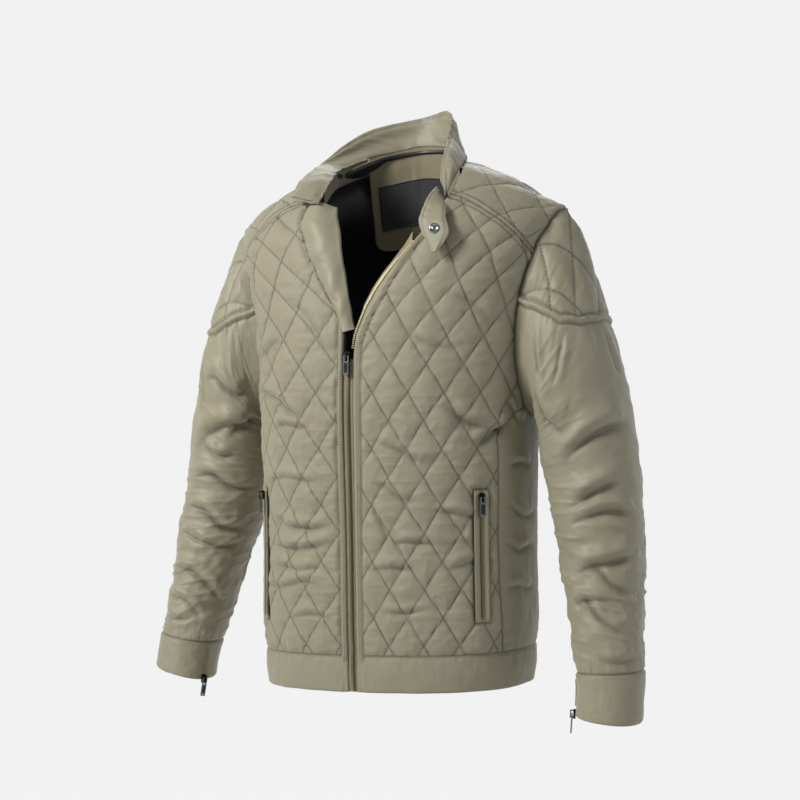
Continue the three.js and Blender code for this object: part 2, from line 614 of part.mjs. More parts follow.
const backHalf = [
  ...BACK_SEAM.slice().reverse().map(mirroredToBack),
  ...reversed(ARMHOLE_LINE.filter((p) => p[1] > 336 && p[1] < 684)).map(mirroredToBack),
  ...reversed(ridgeLine).map(mirroredToBack).map(([u], i) => [u, BACK_TOP - 0.02 * (i % 2)]),
  [30, BACK_TOP - 0.03],
];
const backThin = [...ARMHOLE_LINE, ...ridgeLine].map(mirroredToBack);
addMesh('back', panel([...backHalf, ...reversed(mirrorLine(backHalf))], {
  lattice: halfLattice(QUILT.back), place: backSurface, quilt: QUILT.back, thin: [...backThin, ...reversed(mirrorLine(backThin))],
}), cloth());
const bandBack = mirroredToBack(BACK_SEAM[BACK_SEAM.length - 1])[0];
const bandTopBack = subdivide([[-bandBack, BAND_TOP_BACK], [bandBack, BAND_TOP_BACK]], 22).map(([u, w], i) => [u, w - 0.01 * (i % 2)]);
addMesh('hem_back', panel([[-bandBack, 0.2], [bandBack, 0.2], ...reversed(bandTopBack)], {
  lattice: plainLattice, place: backSurface, seat: 0.6,
}), plainCloth());

// Sleeves, in their own flat coordinates: degrees round the arm and 30 a row along it.
const ALONG = 30;
const CAP_LINE = [[84, 1], [83, 20], [75, 46], [61, 77], [40, 94], [17, 100], [0, 100]];
const CAP_START = CAP_LINE[0][0];
const capLine = [...CAP_LINE, ...reversed(mirrorLine(CAP_LINE.slice(0, -1)))];
const CUFF_SEAM = 9.7 * ALONG;
const CUFF_END = SLEEVE_END * ALONG - 0.5;
for (const side of [1, -1]) {
  const name = side > 0 ? 'left' : 'right';
  const place = (a, b, offset) => sleeveSurface(a * DEG, b / ALONG, offset, side);
  const lattice = { stepU: 20, stepW: 15, u0: 0, w0: 0, coarse: 1 };
  const sleeveCap = offsetLine(capLine, 0, -2.6).map(([a, b]) => [a, Math.max(b, 2)]);
  const below = capLine.map(([a, b]) => [a, b + 2.6]);
  const row = (a0, a1, b, step) => subdivide([[a0, b], [a1, b]], step).map(([a, c], i) => [a, c - 0.01 * (i % 2)]);
  const sleeve = [
    ...row(-179.7, 179.7, CUFF_SEAM, 20),
    ...row(179.7, CAP_START + 3, 2.8, 15),
    ...below.slice(1, -1),
    ...row(-CAP_START - 3, -179.7, 2.8, 15),
  ];
  const thin = [[-180, 2], [180, 2]];
  addMesh(`sleeve_${name}`, panel(sleeve, { lattice, place, thin, wall: 2 }), plainCloth());
  const cap = [...row(-CAP_START + 4, CAP_START - 4, 2.2, 14), ...sleeveCap.slice(1, -1)];
  addMesh(`sleeve_cap_${name}`, panel(cap, {
    lattice: { stepU: 10, stepW: 15, u0: 0, w0: 0, coarse: 2 }, place, thin, wall: 2,
    quilt: { width: 40, height: 60, u: 0, w: 0 },
  }), cloth());
  const welt = (shift) => offsetLine(capLine, 0, shift).slice(2, -2);
  addMesh(`cap_welt_${name}`, strip(welt(-2.6), welt(2.6), 11, 2, place, (s) => 1.7 + 1.2 * Math.sin(Math.PI * s), 1.3), plainCloth());
  const cuff = [...row(-179.7, 179.7, CUFF_END, 20), ...row(179.7, -179.7, CUFF_SEAM + 0.4, 20)];
  addMesh(`cuff_${name}`, panel(cuff, { lattice: { ...lattice, stepW: 20 }, place, wall: 2, seat: 0.8 }), plainCloth());
}

// Front fastening
const doubleRidge = (s) => 0.3 + 1.6 * Math.abs(Math.sin(2 * Math.PI * s)) ** 0.6;
const nudge = (line, d) => line.map(([u, w]) => [u + d, w]);
const edgeFromHem = (edge) => [[edge[0][0], 0.4], ...edge];
addMesh('band_left', strip(nudge(edgeFromHem(FRONT_EDGE_LEFT), -0.5), nudge(TEETH_LEFT, 1.2), 36, 4, frontSurface, doubleRidge, WALL), plainCloth());
const bandRight = [...FRONT_EDGE_RIGHT.slice(0, 3), [15, 418]];
addMesh('band_right', strip(nudge(mirrorLine(edgeFromHem(bandRight)), 0.8), [[-9.6, 0.4], [-9.6, 412]], 36, 4,
  frontSurface, doubleRidge, WALL), plainCloth());
const ZIP = { u: [-9.2, 2.6], teeth: [-5.6, -0.6], stop: 388 };
addMesh('zip_tape_front', strip([[ZIP.u[0], 0.4], [ZIP.u[0], ZIP.stop]], [[ZIP.u[1], 0.4], [ZIP.u[1], ZIP.stop]], 30, 2,
  frontSurface, () => -0.8, 1.2), plainCloth());
addMesh('zip_teeth_front', strip([[ZIP.teeth[0], 0.4], [ZIP.teeth[0], ZIP.stop]], [[ZIP.teeth[1], 0.4], [ZIP.teeth[1], ZIP.stop]], 30, 1,
  frontSurface, () => 1.0, 1.4), brass());
const openTeeth = TEETH_LEFT.slice(1);
addMesh('zip_teeth_left', strip(nudge(openTeeth, 0.6), nudge(openTeeth, -2.2), 40, 1, frontSurface, () => 0.8, 1.6), brass());
const facingOuter = nudge(TEETH_LEFT.slice(3), -3);
addMesh('facing_left', strip(facingOuter, FACING_EDGE_LEFT, 30, 3, frontSurface, (s) => -0.5 - 4 * s, 1.6), plainCloth());
const rollSeam = [[-15, 422], ...mirrorLine(FRONT_EDGE_RIGHT.slice(3))];
addMesh('roll_right', strip(nudge(rollSeam, 1), mirrorLine(ROLL_EDGE_RIGHT), 26, 5, frontSurface,
  (s, t) => 1 + (2 + 6 * t) * Math.sin(Math.PI * Math.min(1, s * 1.08)) - 3 * s ** 4, WALL), plainCloth());

// Pockets
for (const side of [1, -1]) {
  const name = side > 0 ? 'left' : 'right';
  const line = (u) => [[side * u, POCKET.w[0] + 0.5], [side * u, POCKET.w[1] - 0.5]];
  addMesh(`pocket_welt_${name}`, strip(line(POCKET.u[0] + 0.5), line(POCKET.u[1] - 0.5), 26, 6, frontSurface,
    (s) => 0.8 + 2.4 * Math.abs(Math.cos(Math.PI * s)) ** 0.7, WALL + 1), plainCloth());
  const middle = (POCKET.u[0] + POCKET.u[1]) / 2;
  const teeth = (d) => [[side * (middle + d), POCKET.w[0] + 4], [side * (middle + d), POCKET.w[1] - 12]];
  addMesh(`pocket_teeth_${name}`, strip(teeth(-1.8), teeth(1.8), 30, 1, frontSurface, () => 3.2, 1.2), brass());
}

// Collar
const collarRows = Object.values(COLLAR);
const COLLAR_HALF = 1.3;
function collarPoint(position, height, offset) {
  const at = (p) => spline(collarRows, COLLAR_COLUMNS, p);
  const along = (p, h) => {
    const r = at(p);
    const seam = new THREE.Vector3(r.seamX, r.seamY, r.seamZ);
    const edge = new THREE.Vector3(r.edgeX, r.edgeY, r.edgeZ);
    const outward = new THREE.Vector3(r.seamX, r.seamY * 0.8 - 4, 12).normalize().multiplyScalar(r.bulge);
    return seam.lerp(edge, h).addScaledVector(outward, Math.sin(Math.PI * h) * 0.8);
  };
  const d = 0.05;
  const last = collarRows.length - 1;
  const alongP = along(Math.min(position + d, last), height).sub(along(Math.max(position - d, 0), height));
  const alongH = along(position, Math.min(height + d, 1)).sub(along(position, Math.max(height - d, 0)));
  const n = alongP.cross(alongH).normalize();
  return along(position, height).addScaledVector(n, offset);
}
function collarShell(from, to, count, heights) {
  const grid = (offset) => {
    const rows = [];
    for (let i = 0; i <= count; i += 1) {
      rows.push(heights.map((h) => collarPoint(mix(from, to, i / count), h, offset * (h > 0.95 || h < 0.05 ? 0.6 : 1))));
    }
    return rows;
  };
  return shell(grid(COLLAR_HALF), grid(-COLLAR_HALF));
}
addMesh('collar', collarShell(0, collarRows.length - 1, 36, [0, 0.33, 0.67, 1]), plainCloth());

const TAB_COLUMNS = ['leftX', 'leftY', 'leftZ', 'rightX', 'rightY', 'rightZ'];
const TAB = {
  root: [89, -72.6, -32, 106, -89, -57],
  neck: [89, -90, -45, 110, -95, -66],
  shoulder: [83, -104, -72, 114, -103, -80],
  wide: [83, -109, -89, 121, -110, -101],
  tip: [102, -114, -122, 107, -114, -122],
};
const tabRows = Object.values(TAB);
function tabPoint(position, across, offset) {
  const r = spline(tabRows, TAB_COLUMNS, position);
  const point = new THREE.Vector3(mix(r.leftX, r.rightX, across), mix(r.leftY, r.rightY, across), mix(r.leftZ, r.rightZ, across));
  return point.add(new THREE.Vector3(0.25, -0.95, 0.15).normalize().multiplyScalar(offset));
}
function tabGrid(offset) {
  const rows = [];
  for (let i = 0; i <= 8; i += 1) {
    rows.push([0, 0.33, 0.67, 1].map((s) => tabPoint(i / 2, s, offset)));
  }
  return rows;
}
addMesh('collar_tab', shell(tabGrid(1.2), tabGrid(-1.2)), plainCloth());

// Round snaps: a domed ring with a sunk middle.
function snap(radius, height, middle) {
  const profile = [[0, 0], [radius, 0], [radius, height * 0.5], [radius * 0.82, height], [radius * 0.5, height],
    [middle, height * 0.55], [0, height * 0.55]];
  return new THREE.LatheGeometry(profile.map(([x, y]) => new THREE.Vector2(x, y)), 16);
}
function closedLathe(geometry) {
  const bare = geometry.clone();
  bare.deleteAttribute('normal');
  bare.deleteAttribute('uv');
  const merged = mergeVertices(bare, 1e-3);
  const index = [];
  const t = merged.index.array;
  for (let i = 0; i < t.length; i += 3) {
    if (t[i] !== t[i + 1] && t[i + 1] !== t[i + 2] && t[i] !== t[i + 2]) index.push(t[i], t[i + 1], t[i + 2]);
  }
  return makeGeometry([...merged.attributes.position.array], index);
}
function placeOn(mesh, point, normal) {
  mesh.position.copy(point);
  mesh.quaternion.setFromUnitVectors(new THREE.Vector3(0, 1, 0), normal.clone().normalize());
}
const tabFace = new THREE.Vector3(0.25, -0.95, 0.15);
const tabSnap = addMesh('snap_tab', closedLathe(snap(5.8, 2.6, 2)), chrome());
placeOn(tabSnap, tabPoint(2.95, 0.52, 3.2), tabFace);
const collarFace = (p, h) => collarPoint(p, h, 1).sub(collarPoint(p, h, 0));
const endSnap = addMesh('snap_collar_end', closedLathe(snap(5.6, 1.8, 3.4)), chrome());
placeOn(endSnap, collarPoint(0.35, 0.62, -2.4), collarFace(0.35, 0.62).negate());

// Inside the neck
const INSIDE = -WALL - 3.6;
function insideLine(u0, u1, w, count) {
  return Array.from({ length: count + 1 }, (_, i) => [mix(u0, u1, i / count), w]);
}
function insidePiece(columns, rows, halfWidthAt, wAt, offset, thickness) {
  const outer = [];
  const inner = [];
  for (let i = 0; i <= rows; i += 1) {
    const line = insideLine(-halfWidthAt(i / rows), halfWidthAt(i / rows), 0, columns);
    outer.push(line.map(([u]) => backSurface(u, wAt(i / rows, u), offset)));
    inner.push(line.map(([u]) => backSurface(u, wAt(i / rows, u), offset - thickness)));
  }
  return shell(outer, inner);
}
const NECK_FACING = { half: 58, depth: 104 };
addMesh('lining_back', insidePiece(16, 10, (t) => mix(168, 128, t), (t) => mix(BACK_TOP - 330, BACK_TOP - 4, t), INSIDE, 1.0), satin());
addMesh('neck_facing', insidePiece(10, 6, (t) => mix(46, NECK_FACING.half, Math.min(1, t * 4)),
  (t) => mix(BACK_TOP - NECK_FACING.depth, BACK_TOP - 3, t), INSIDE - 4.2, 1.2), plainCloth());
const label = [];
const labelBack = [];
for (let i = 0; i <= 3; i += 1) {
  label.push([0, 1, 2, 3, 4].map((j) => backSurface(-48 + 19 * j, mix(BACK_TOP - 72, BACK_TOP - 26, i / 3), INSIDE - 6.8)));
  labelBack.push([0, 1, 2, 3, 4].map((j) => backSurface(-48 + 19 * j, mix(BACK_TOP - 72, BACK_TOP - 26, i / 3), INSIDE - 7.8)));
}
addMesh('neck_label', shell(label, labelBack), woven());

// Zip sliders and their pulls. Local frame: x across the zip, y up it, z out of the cloth.
const SLIDER = { width: 7.4, length: 11, thick: 2.4, archWidth: 2, archTop: 6.4, archLow: 5.4 };
const PULL = { axis: 4.0, thick: 1.2, width: 7, eye: [1.7, -1, -6], end: -22, window: [2.4, -7.6, -19.6] };
function box(x0, x1, y0, y1, z0, z1) {
  const geometry = new THREE.BoxGeometry(x1 - x0, y1 - y0, z1 - z0);
  geometry.translate((x0 + x1) / 2, (y0 + y1) / 2, (z0 + z1) / 2);
  return geometry;
}
function joined(geometries) {
  const solids = geometries.map(toManifold);
  const sum = solids.slice(1).reduce((all, next) => all.add(next), solids[0]);
  const mesh = sum.getMesh();
  return makeGeometry([...mesh.vertProperties], [...mesh.triVerts]);
}
function sliderGeometry() {
  const half = SLIDER.width / 2;
  const body = new THREE.Shape();
  body.moveTo(-half * 0.7, -SLIDER.length / 2);
  body.lineTo(half * 0.7, -SLIDER.length / 2);
  body.lineTo(half, SLIDER.length / 4);
  body.lineTo(half * 0.6, SLIDER.length / 2);
  body.lineTo(-half * 0.6, SLIDER.length / 2);
  body.lineTo(-half, SLIDER.length / 4);
  body.closePath();
  const plate = new THREE.ExtrudeGeometry(body, { depth: SLIDER.thick, bevelEnabled: false });
  const w = SLIDER.archWidth / 2;
  const foot = SLIDER.thick - 0.4;
  return joined([plate, box(-w, w, -4.4, -3, foot, SLIDER.archTop), box(-w, w, 3, 4.4, foot, SLIDER.archTop),
    box(-w, w, -4.4, 4.4, SLIDER.archLow, SLIDER.archTop)]);
}
function roundedBar(halfWidth, top, bottom, corner) {
  const shape = new THREE.Shape();
  shape.moveTo(-halfWidth + corner, top);
  shape.lineTo(-halfWidth, top - corner);
  shape.lineTo(-halfWidth, bottom + corner);
  shape.lineTo(-halfWidth + corner, bottom);
  shape.lineTo(halfWidth - corner, bottom);
  shape.lineTo(halfWidth, bottom + corner);
  shape.lineTo(halfWidth, top - corner);
  shape.lineTo(halfWidth - corner, top);
  shape.closePath();
  return shape;
}
function rectanglePath(halfWidth, top, bottom) {
  const path = new THREE.Path();
  path.moveTo(-halfWidth, top);
  path.lineTo(halfWidth, top);
  path.lineTo(halfWidth, bottom);
  path.lineTo(-halfWidth, bottom);
  path.closePath();
  return path;
}
function pullGeometry() {
  const shape = roundedBar(PULL.width / 2, 1, PULL.end, 0.8);
  shape.holes.push(rectanglePath(...PULL.eye), rectanglePath(...PULL.window));
  const geometry = new THREE.ExtrudeGeometry(shape, { depth: PULL.thick, bevelEnabled: false });
  geometry.translate(0, 0, -PULL.thick / 2);
  return joined([geometry]);
}
function enamelGeometry() {
  const [half, top, bottom] = PULL.window;
  return joined([box(-half + 0.3, half - 0.3, bottom + 0.3, top - 0.3, -PULL.thick / 2 + 0.1, PULL.thick / 2 + 0.2)]);
}
function clothFrame(place, u, w, du, dw) {
  const origin = place(u, w, 0);
  const up = place(u + du, w + dw, 0).sub(origin).normalize();
  const out = place(u, w, 1).sub(origin).normalize();
  const across = up.clone().cross(out).normalize();
  const matrix = new THREE.Matrix4().makeBasis(across, up, across.clone().cross(up).normalize());
  matrix.setPosition(origin);
  return matrix;
}
function addZipSlider(name, frame, rise) {
  const place = (geometry, material, node, z) => {
    const mesh = addMesh(node, geometry, material);
    mesh.applyMatrix4(new THREE.Matrix4().makeTranslation(0, 0, z).premultiply(frame));
    return mesh;
  };
  place(sliderGeometry(), chrome(), `slider_${name}`, rise);
  place(pullGeometry(), chrome(), `pull_${name}`, rise + PULL.axis);
  place(enamelGeometry(), enamel(), `pull_enamel_${name}`, rise + PULL.axis);
}
addZipSlider('front', clothFrame(frontSurface, -3.1, 391, 0, 4), 1.4);
for (const side of [1, -1]) {
  const name = side > 0 ? 'left' : 'right';
  const middle = side * (POCKET.u[0] + POCKET.u[1]) / 2;
  addZipSlider(`pocket_${name}`, clothFrame(frontSurface, middle, POCKET.w[1] - 9, 0, 4), 3.6);
  const place = (a, b, offset) => sleeveSurface(a * DEG, b / ALONG, offset, side);
  const teeth = (a) => [[a, CUFF_SEAM + 6], [a, CUFF_END - 10]];
  addMesh(`cuff_teeth_${name}`, strip(teeth(CUFF_ZIP - 1.6), teeth(CUFF_ZIP + 1.6), 12, 1, place, () => 2.6, 1.2), brass());
  addZipSlider(`cuff_${name}`, clothFrame(place, CUFF_ZIP, CUFF_END - 2, 0, -4), 1.2);
}

export default jacket;
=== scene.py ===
"""Quilted jacket, dressed: cloth, stitching, zip teeth, materials, light and camera.

Cloth lies on the form of the solids, as a relief over the same named values.
Lengths are millimetres in the tables and on the cloth, and metres in Blender.
"""
import math
import bpy
import numpy as np
from mathutils import Matrix, Vector
from mathutils.geometry import delaunay_2d_cdt


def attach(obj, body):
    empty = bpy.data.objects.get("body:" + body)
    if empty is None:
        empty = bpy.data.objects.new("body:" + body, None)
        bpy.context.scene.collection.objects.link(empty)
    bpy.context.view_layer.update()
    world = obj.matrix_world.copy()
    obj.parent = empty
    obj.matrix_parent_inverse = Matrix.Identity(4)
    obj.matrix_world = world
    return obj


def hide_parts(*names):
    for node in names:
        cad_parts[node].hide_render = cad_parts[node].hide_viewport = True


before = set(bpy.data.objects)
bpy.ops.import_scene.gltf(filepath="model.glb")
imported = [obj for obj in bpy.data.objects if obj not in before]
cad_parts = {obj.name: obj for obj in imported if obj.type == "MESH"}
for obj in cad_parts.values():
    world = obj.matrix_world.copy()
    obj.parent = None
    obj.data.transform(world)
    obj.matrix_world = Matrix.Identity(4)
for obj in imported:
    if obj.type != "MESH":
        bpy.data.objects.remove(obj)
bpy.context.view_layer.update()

MM = 0.001
DEG = math.pi / 180
BODY = "jacket"

# Camera: the photograph's viewing angle
CAMERA = {"azimuth": 27.46, "elevation": -0.89, "distance": 1.914, "right": 0.001, "up": -0.289}
FOCAL_SHARE = 1541.0 / 800.0      # focal length over the width of the picture
SENSOR = 36.0                     # mm


def camera_axes(azimuth, elevation):
    a, e = azimuth * DEG, elevation * DEG
    back = Vector((math.sin(a) * math.cos(e), -math.cos(a) * math.cos(e), math.sin(e)))
    right = Vector((math.cos(a), math.sin(a), 0))
    return right, back.cross(right), back


def make_camera():
    right, up, back = camera_axes(CAMERA["azimuth"], CAMERA["elevation"])
    target = right * CAMERA["right"] + Vector((0, 0, CAMERA["up"]))
    data = bpy.data.cameras.new("camera")
    data.sensor_width = SENSOR
    data.sensor_fit = "HORIZONTAL"
    data.lens = FOCAL_SHARE * SENSOR
    data.clip_start = 0.05
    data.clip_end = 30
    camera = bpy.data.objects.new("camera", data)
    turn = Matrix((right, up, back)).transposed().to_4x4()
    camera.matrix_world = Matrix.Translation(target + back * CAMERA["distance"]) @ turn
    bpy.context.scene.collection.objects.link(camera)
    bpy.context.scene.camera = camera


make_camera()

# Form of the body, as in the solids: one ring a row, from the hem to the upper chest
HEM_TILT = 7.5
BODY_RINGS = {  # sideX, sideY, sideZ, frontY, frontZ, backY, backZ, bulgeFront, bulgeBack
    "hem": (168, 0, -634, -110, -634, 110, -634, 2.4, 2.5),
    "band_middle": (171, 0, -612, -112, -612, 113, -610, 2.4, 2.5),
    "band_top": (171, 0, -588, -112, -588, 114, -586, 2.4, 2.5),
    "hip": (173, 0, -552, -114, -552, 117, -552, 2.4, 2.5),
    "waist": (172, 0, -450, -117, -450, 114, -450, 2.4, 2.5),
    "ribs": (173, 0, -350, -121, -350, 116, -350, 2.5, 2.5),
    "armpit": (176, 2, -290, -123, -290, 120, -280, 2.5, 2.5),
    "low_arm": (180, 2, -226, -121, -226, 122, -215, 2.5, 2.5),
    "chest": (190, 2, -165, -115, -168, 118, -155, 2.5, 2.5),
    "upper_chest": (204, 2, -118, -108, -122, 108, -100, 2.5, 2.5),
}
RISE = [(0, 0, 204), (0.07, 0.32, 209), (0.26, 0.64, 215), (0.58, 0.90, 221), (1, 1, 226)]
RIDGE = [  # x, frontY, frontZ, backY, backZ
    (0, 22, -10, 68, 34), (50, 18, -4, 53, 27), (84, 13, 3, 13, 3),
    (150, 6, -24, 6, -24), (226, 0, -66, 0, -66),
]
SLEEVE_RINGS = {  # outerX, outerZ, innerX, innerZ, middleY, halfFront, halfBack, armholeShare
    "armhole": (224, -66, 178, -306, 1, 50, 50, 1),
    "cap_top": (238, -92, 191, -308, 1, 56, 58, 0.72),
    "cap_middle": (251, -132, 193, -313, 2, 62, 64, 0.42),
    "cap_low": (264, -178, 193, -320, 3, 65, 67, 0.18),
    "biceps": (277, -226, 193, -331, 5, 66, 68, 0),
    "upper_arm": (291, -285, 193, -350, 8, 64, 66, 0),
    "lower_upper_arm": (301, -345, 197, -380, 8, 61, 63, 0),
    "elbow": (308, -405, 207, -422, 4, 56, 58, 0),
    "forearm": (316, -490, 226, -496, -10, 49, 51, 0),
    "wrist": (321, -560, 242, -566, -24, 43, 45, 0),
    "cuff_top": (325, -610, 252, -612, -35, 39, 41, 0),
    "cuff_edge": (325, -654, 254, -648, -44, 37, 39, 0),
}
SLEEVE_ROUND = 2.25
RIGHT_CUFF_LIFT = {"start": 9, "outer": 13, "inner": 1}

# Lines of the cloth: u from the middle of the front, w up from the hem
ARMHOLE_LINE = [
    (205, 685), (204, 640), (203, 600), (202, 571), (194, 539), (191, 506), (189, 484), (189, 457),
    (190, 432), (193, 410), (197, 386), (206, 358), (218, 336), (236.5, 324),
]
SIDE_SEAM = [
    (218, 336), (196, 321), (184, 310), (176, 295), (178, 270),
    (178, 223), (177, 176), (178, 129), (181, 81), (184, 43),
]
YOKE_SEAM = {
    1: [(70, 587), (82, 586), (96, 586), (117, 577), (141, 563), (164, 542), (191, 506)],
    -1: [(50, 590), (66, 588), (82, 586), (96, 586), (117, 577), (141, 563), (164, 542), (191, 506)],
}
BACK_SEAM = [(218, 336), (196, 321), (184, 310), (176, 295), (174, 270), (174, 43)]
NECK_LINE = {
    1: [(64, 535), (70, 548), (79, 564), (84, 586), (85, 604), (82, 632), (73, 660), (63, 684)],
    -1: [(66, 576), (52, 606), (56, 640), (60, 665), (63, 684)],
}
FRONT_EDGE = {
    1: [(11, 43), (11, 404), (18, 428), (25, 445), (34, 463), (42, 483), (51, 501), (58, 514), (64, 526)],
    -1: [(17, 43), (17, 247), (15, 387), (15, 433), (22, 451), (41, 485), (59, 526), (70, 555), (66, 576)],
}
TEETH_LEFT = [(3, 0), (3, 400), (5, 417), (14, 446), (24, 469), (34, 488), (44, 504), (52, 515), (59, 526)]
FACING_EDGE_LEFT = [(9, 452), (17, 472), (27, 491), (37, 508), (46, 523), (54, 540)]
ROLL_EDGE_RIGHT = [(-1, 424), (6, 459), (14, 498), (22, 546), (28, 566), (33, 584)]
RIDGE_W = 684
RIDGE_U = 204.5                   # outer end of the shoulder seam
PAST_SIDE = 330                   # a u beyond every side seam
BAND_HEIGHT = 43
POCKET = {"u": (146, 164), "w": (80, 236)}
POCKET_DEPTH = -0.6
ZIP = {"tape": (-9.2, 2.6), "teeth": -3.1, "stop": 388}
CUFF_ZIP = 163

QUILT = {  # width and height of a diamond, and where the lattice starts
    "front_left": {"width": 42, "height": 65.2, "u": 4, "w": 55},
    "front_right": {"width": 51, "height": 65.2, "u": 18.5, "w": 55},
    "back": {"width": 46, "height": 65.2, "u": 0, "w": 55},
    "yoke": {"width": 62, "height": 92, "u": 20, "w": 580},
    "sleeve_cap": {"width": 46, "height": 68, "u": 0, "w": 6},
}
FINE = {"front": 1.95, "back": 2.3, "lining": 6.0, "strip": 2.2}     # size of a triangle
SLEEVE_GRID = {"outer": (216, 330), "inner": (60, 80)}               # points round and along
PUFF = 3.4
WALL = 2.0

COLLAR = {  # seamX, seamY, seamZ, edgeX, edgeY, edgeZ, bulge
    "right_end": (-60, -95, -53, -101, -93, -42, 5),
    "right_front": (-62, -69, -28, -105, -64, -18, 8),
    "right_side": (-71, -31, -5, -111, -24, 1, 9),
    "right_point": (-81, 10, 8, -111, 8, 19, 9),
    "right_back": (-66, 42, 22, -92, 28, 42, 6),
    "back_right": (-40, 60, 30, -62, 48, 62, 4),
    "back": (0, 68, 36, 0, 73, 76, 3),
    "back_left": (40, 60, 30, 38, 57, 78, 3),
    "left_back": (64, 42, 21, 56, 33, 62, 3),
    "left_point": (86, 13, 6, 66, 4, 36, 3),
    "left_side": (99, -26, -8, 76, -25, 16, 3),
    "left_front": (105, -55, -24, 83, -51, -9, 3),
    "left_end": (105, -86, -54, 90, -68, -32, 2),
}
TAB = {  # leftX, leftY, leftZ, rightX, rightY, rightZ
    "root": (89, -72.6, -32, 106, -89, -57),
    "neck": (89, -90, -45, 110, -95, -66),
    "shoulder": (83, -104, -72, 114, -103, -80),
    "wide": (83, -109, -89, 121, -110, -101),
    "tip": (102, -114, -122, 107, -114, -122),
}


# Numbers
def smooth(x, low, high):
    t = np.clip((x - low) / (high - low), 0, 1)
    return t * t * (3 - 2 * t)


def signed_power(x, e):
    return np.sign(x) * np.abs(x) ** e


def chance(a, b, seed):
    """A fixed number from 0 to 1 for each pair of whole numbers."""
    x = np.sin(np.asarray(a) * 127.1 + np.asarray(b) * 311.7 + seed * 74.7) * 43758.5453
    return x - np.floor(x)


def noise(x, y, seed):
    """Smooth noise from -1 to 1."""
    x, y = np.broadcast_arrays(np.asarray(x, float), np.asarray(y, float))
    i, j = np.floor(x), np.floor(y)
    s, t = x - i, y - j
    s, t = s * s * s * (s * (6 * s - 15) + 10), t * t * t * (t * (6 * t - 15) + 10)
    low = chance(i, j, seed) * (1 - s) + chance(i + 1, j, seed) * s
    high = chance(i, j + 1, seed) * (1 - s) + chance(i + 1, j + 1, seed) * s
    return 2 * (low * (1 - t) + high * t) - 1


def spline(rows, position):
    rows = np.asarray(rows, float)
    v = np.clip(np.asarray(position, float), 0, len(rows) - 1)
    i = np.minimum(v.astype(int), len(rows) - 2)
    t = (v - i)[..., None]
    p0, p1 = rows[np.maximum(i - 1, 0)], rows[i]
    p2, p3 = rows[i + 1], rows[np.minimum(i + 2, len(rows) - 1)]
    square = 2 * p0 - 5 * p1 + 4 * p2 - p3
    cube = 3 * p1 - p0 - 3 * p2 + p3
    return 0.5 * (2 * p1 + (p2 - p0) * t + square * t * t + cube * t ** 3)


def columns(table):
    return [table[..., k] for k in range(table.shape[-1])]


# Form of the body and of a sleeve
BODY_ROWS = list(BODY_RINGS.values())
LOW = len(BODY_ROWS) - 1
TOP = LOW + len(RISE) - 1
SLEEVE_ROWS = list(SLEEVE_RINGS.values())
SLEEVE_END = len(SLEEVE_ROWS) - 1
NUDGE_ROUND, NUDGE_UP = 0.01, 0.03                      # steps that the body's normals are taken over
SLEEVE_NUDGE_ROUND, SLEEVE_NUDGE_ALONG = 0.02, 0.04     # and the sleeve's


def body_point(phi, v):
    phi, v = np.broadcast_arrays(np.asarray(phi, float), np.asarray(v, float))
    ring = columns(spline(BODY_ROWS, np.minimum(v, LOW)))
    side_x, side_y, side_z, front_y, front_z, back_y, back_z, bulge_f, bulge_b = ring
    s, c = np.sin(phi), np.cos(phi)
    front = c >= 0
    e = 2 / np.where(front, bulge_f, bulge_b)
    x = side_x * signed_power(s, e)
    y = side_y + (np.where(front, front_y, back_y) - side_y) * np.abs(c) ** e
    z = side_z + (np.where(front, front_z, back_z) - side_z) * np.abs(c) ** 1.6
    towards, upwards, half = columns(spline(RISE, np.maximum(v - LOW, 0)))
    x = x * np.where(v > LOW, half / side_x, 1)
    row = np.interp(np.abs(x), [r[0] for r in RIDGE], np.arange(len(RIDGE)))
    _, ridge_fy, ridge_fz, ridge_by, ridge_bz = columns(spline(RIDGE, row))
    y = y + (np.where(front, ridge_fy, ridge_by) - y) * towards
    z = z + (np.where(front, ridge_fz, ridge_bz) - z) * upwards
    z = z + HEM_TILT * x / 170 * np.clip((-z - 350) / 230, 0, 1)
    return np.stack([x, y, z], -1)


def arc_table(count, points, flat):
    steps = np.diff(points, axis=0)
    if flat:
        steps[:, 2] = 0
    return np.linspace(0, 1, count + 1), np.concatenate([[0], np.cumsum(np.linalg.norm(steps, axis=1))])


T = np.linspace(0, 1, 361)
WAIST_ROW = list(BODY_RINGS).index("waist")
GIRTH_FRONT = arc_table(360, body_point(T * math.pi, WAIST_ROW), True)
GIRTH_BACK = arc_table(360, body_point((1 - T) * math.pi, WAIST_ROW), True)
T = np.linspace(0, 1, 601)
HEIGHT_FRONT = arc_table(600, body_point(25 * DEG, T * TOP), False)
HEIGHT_BACK = arc_table(600, body_point(155 * DEG, T * TOP), False)
BACK_TOP = HEIGHT_BACK[1][-1] - 0.9


def front_angles(u, w):
    phi = np.sign(u) * np.interp(np.abs(u), GIRTH_FRONT[1], GIRTH_FRONT[0]) * math.pi
    return phi, np.interp(w, HEIGHT_FRONT[1], HEIGHT_FRONT[0]) * TOP


def back_angles(u, w):
    phi = math.pi - np.sign(u) * np.interp(np.abs(u), GIRTH_BACK[1], GIRTH_BACK[0]) * math.pi
    return phi, np.interp(w, HEIGHT_BACK[1], HEIGHT_BACK[0]) * TOP


def mirrored_to_back(line):
    """Points of the front's coordinates, mirrored front to back, in the back's coordinates."""
    line = np.asarray(line, float)
    phi, row = front_angles(line[:, 0], line[:, 1])
    u = np.interp(phi / math.pi, GIRTH_BACK[0], GIRTH_BACK[1])
    return np.stack([u, np.interp(row / TOP, HEIGHT_BACK[0], HEIGHT_BACK[1])], -1)


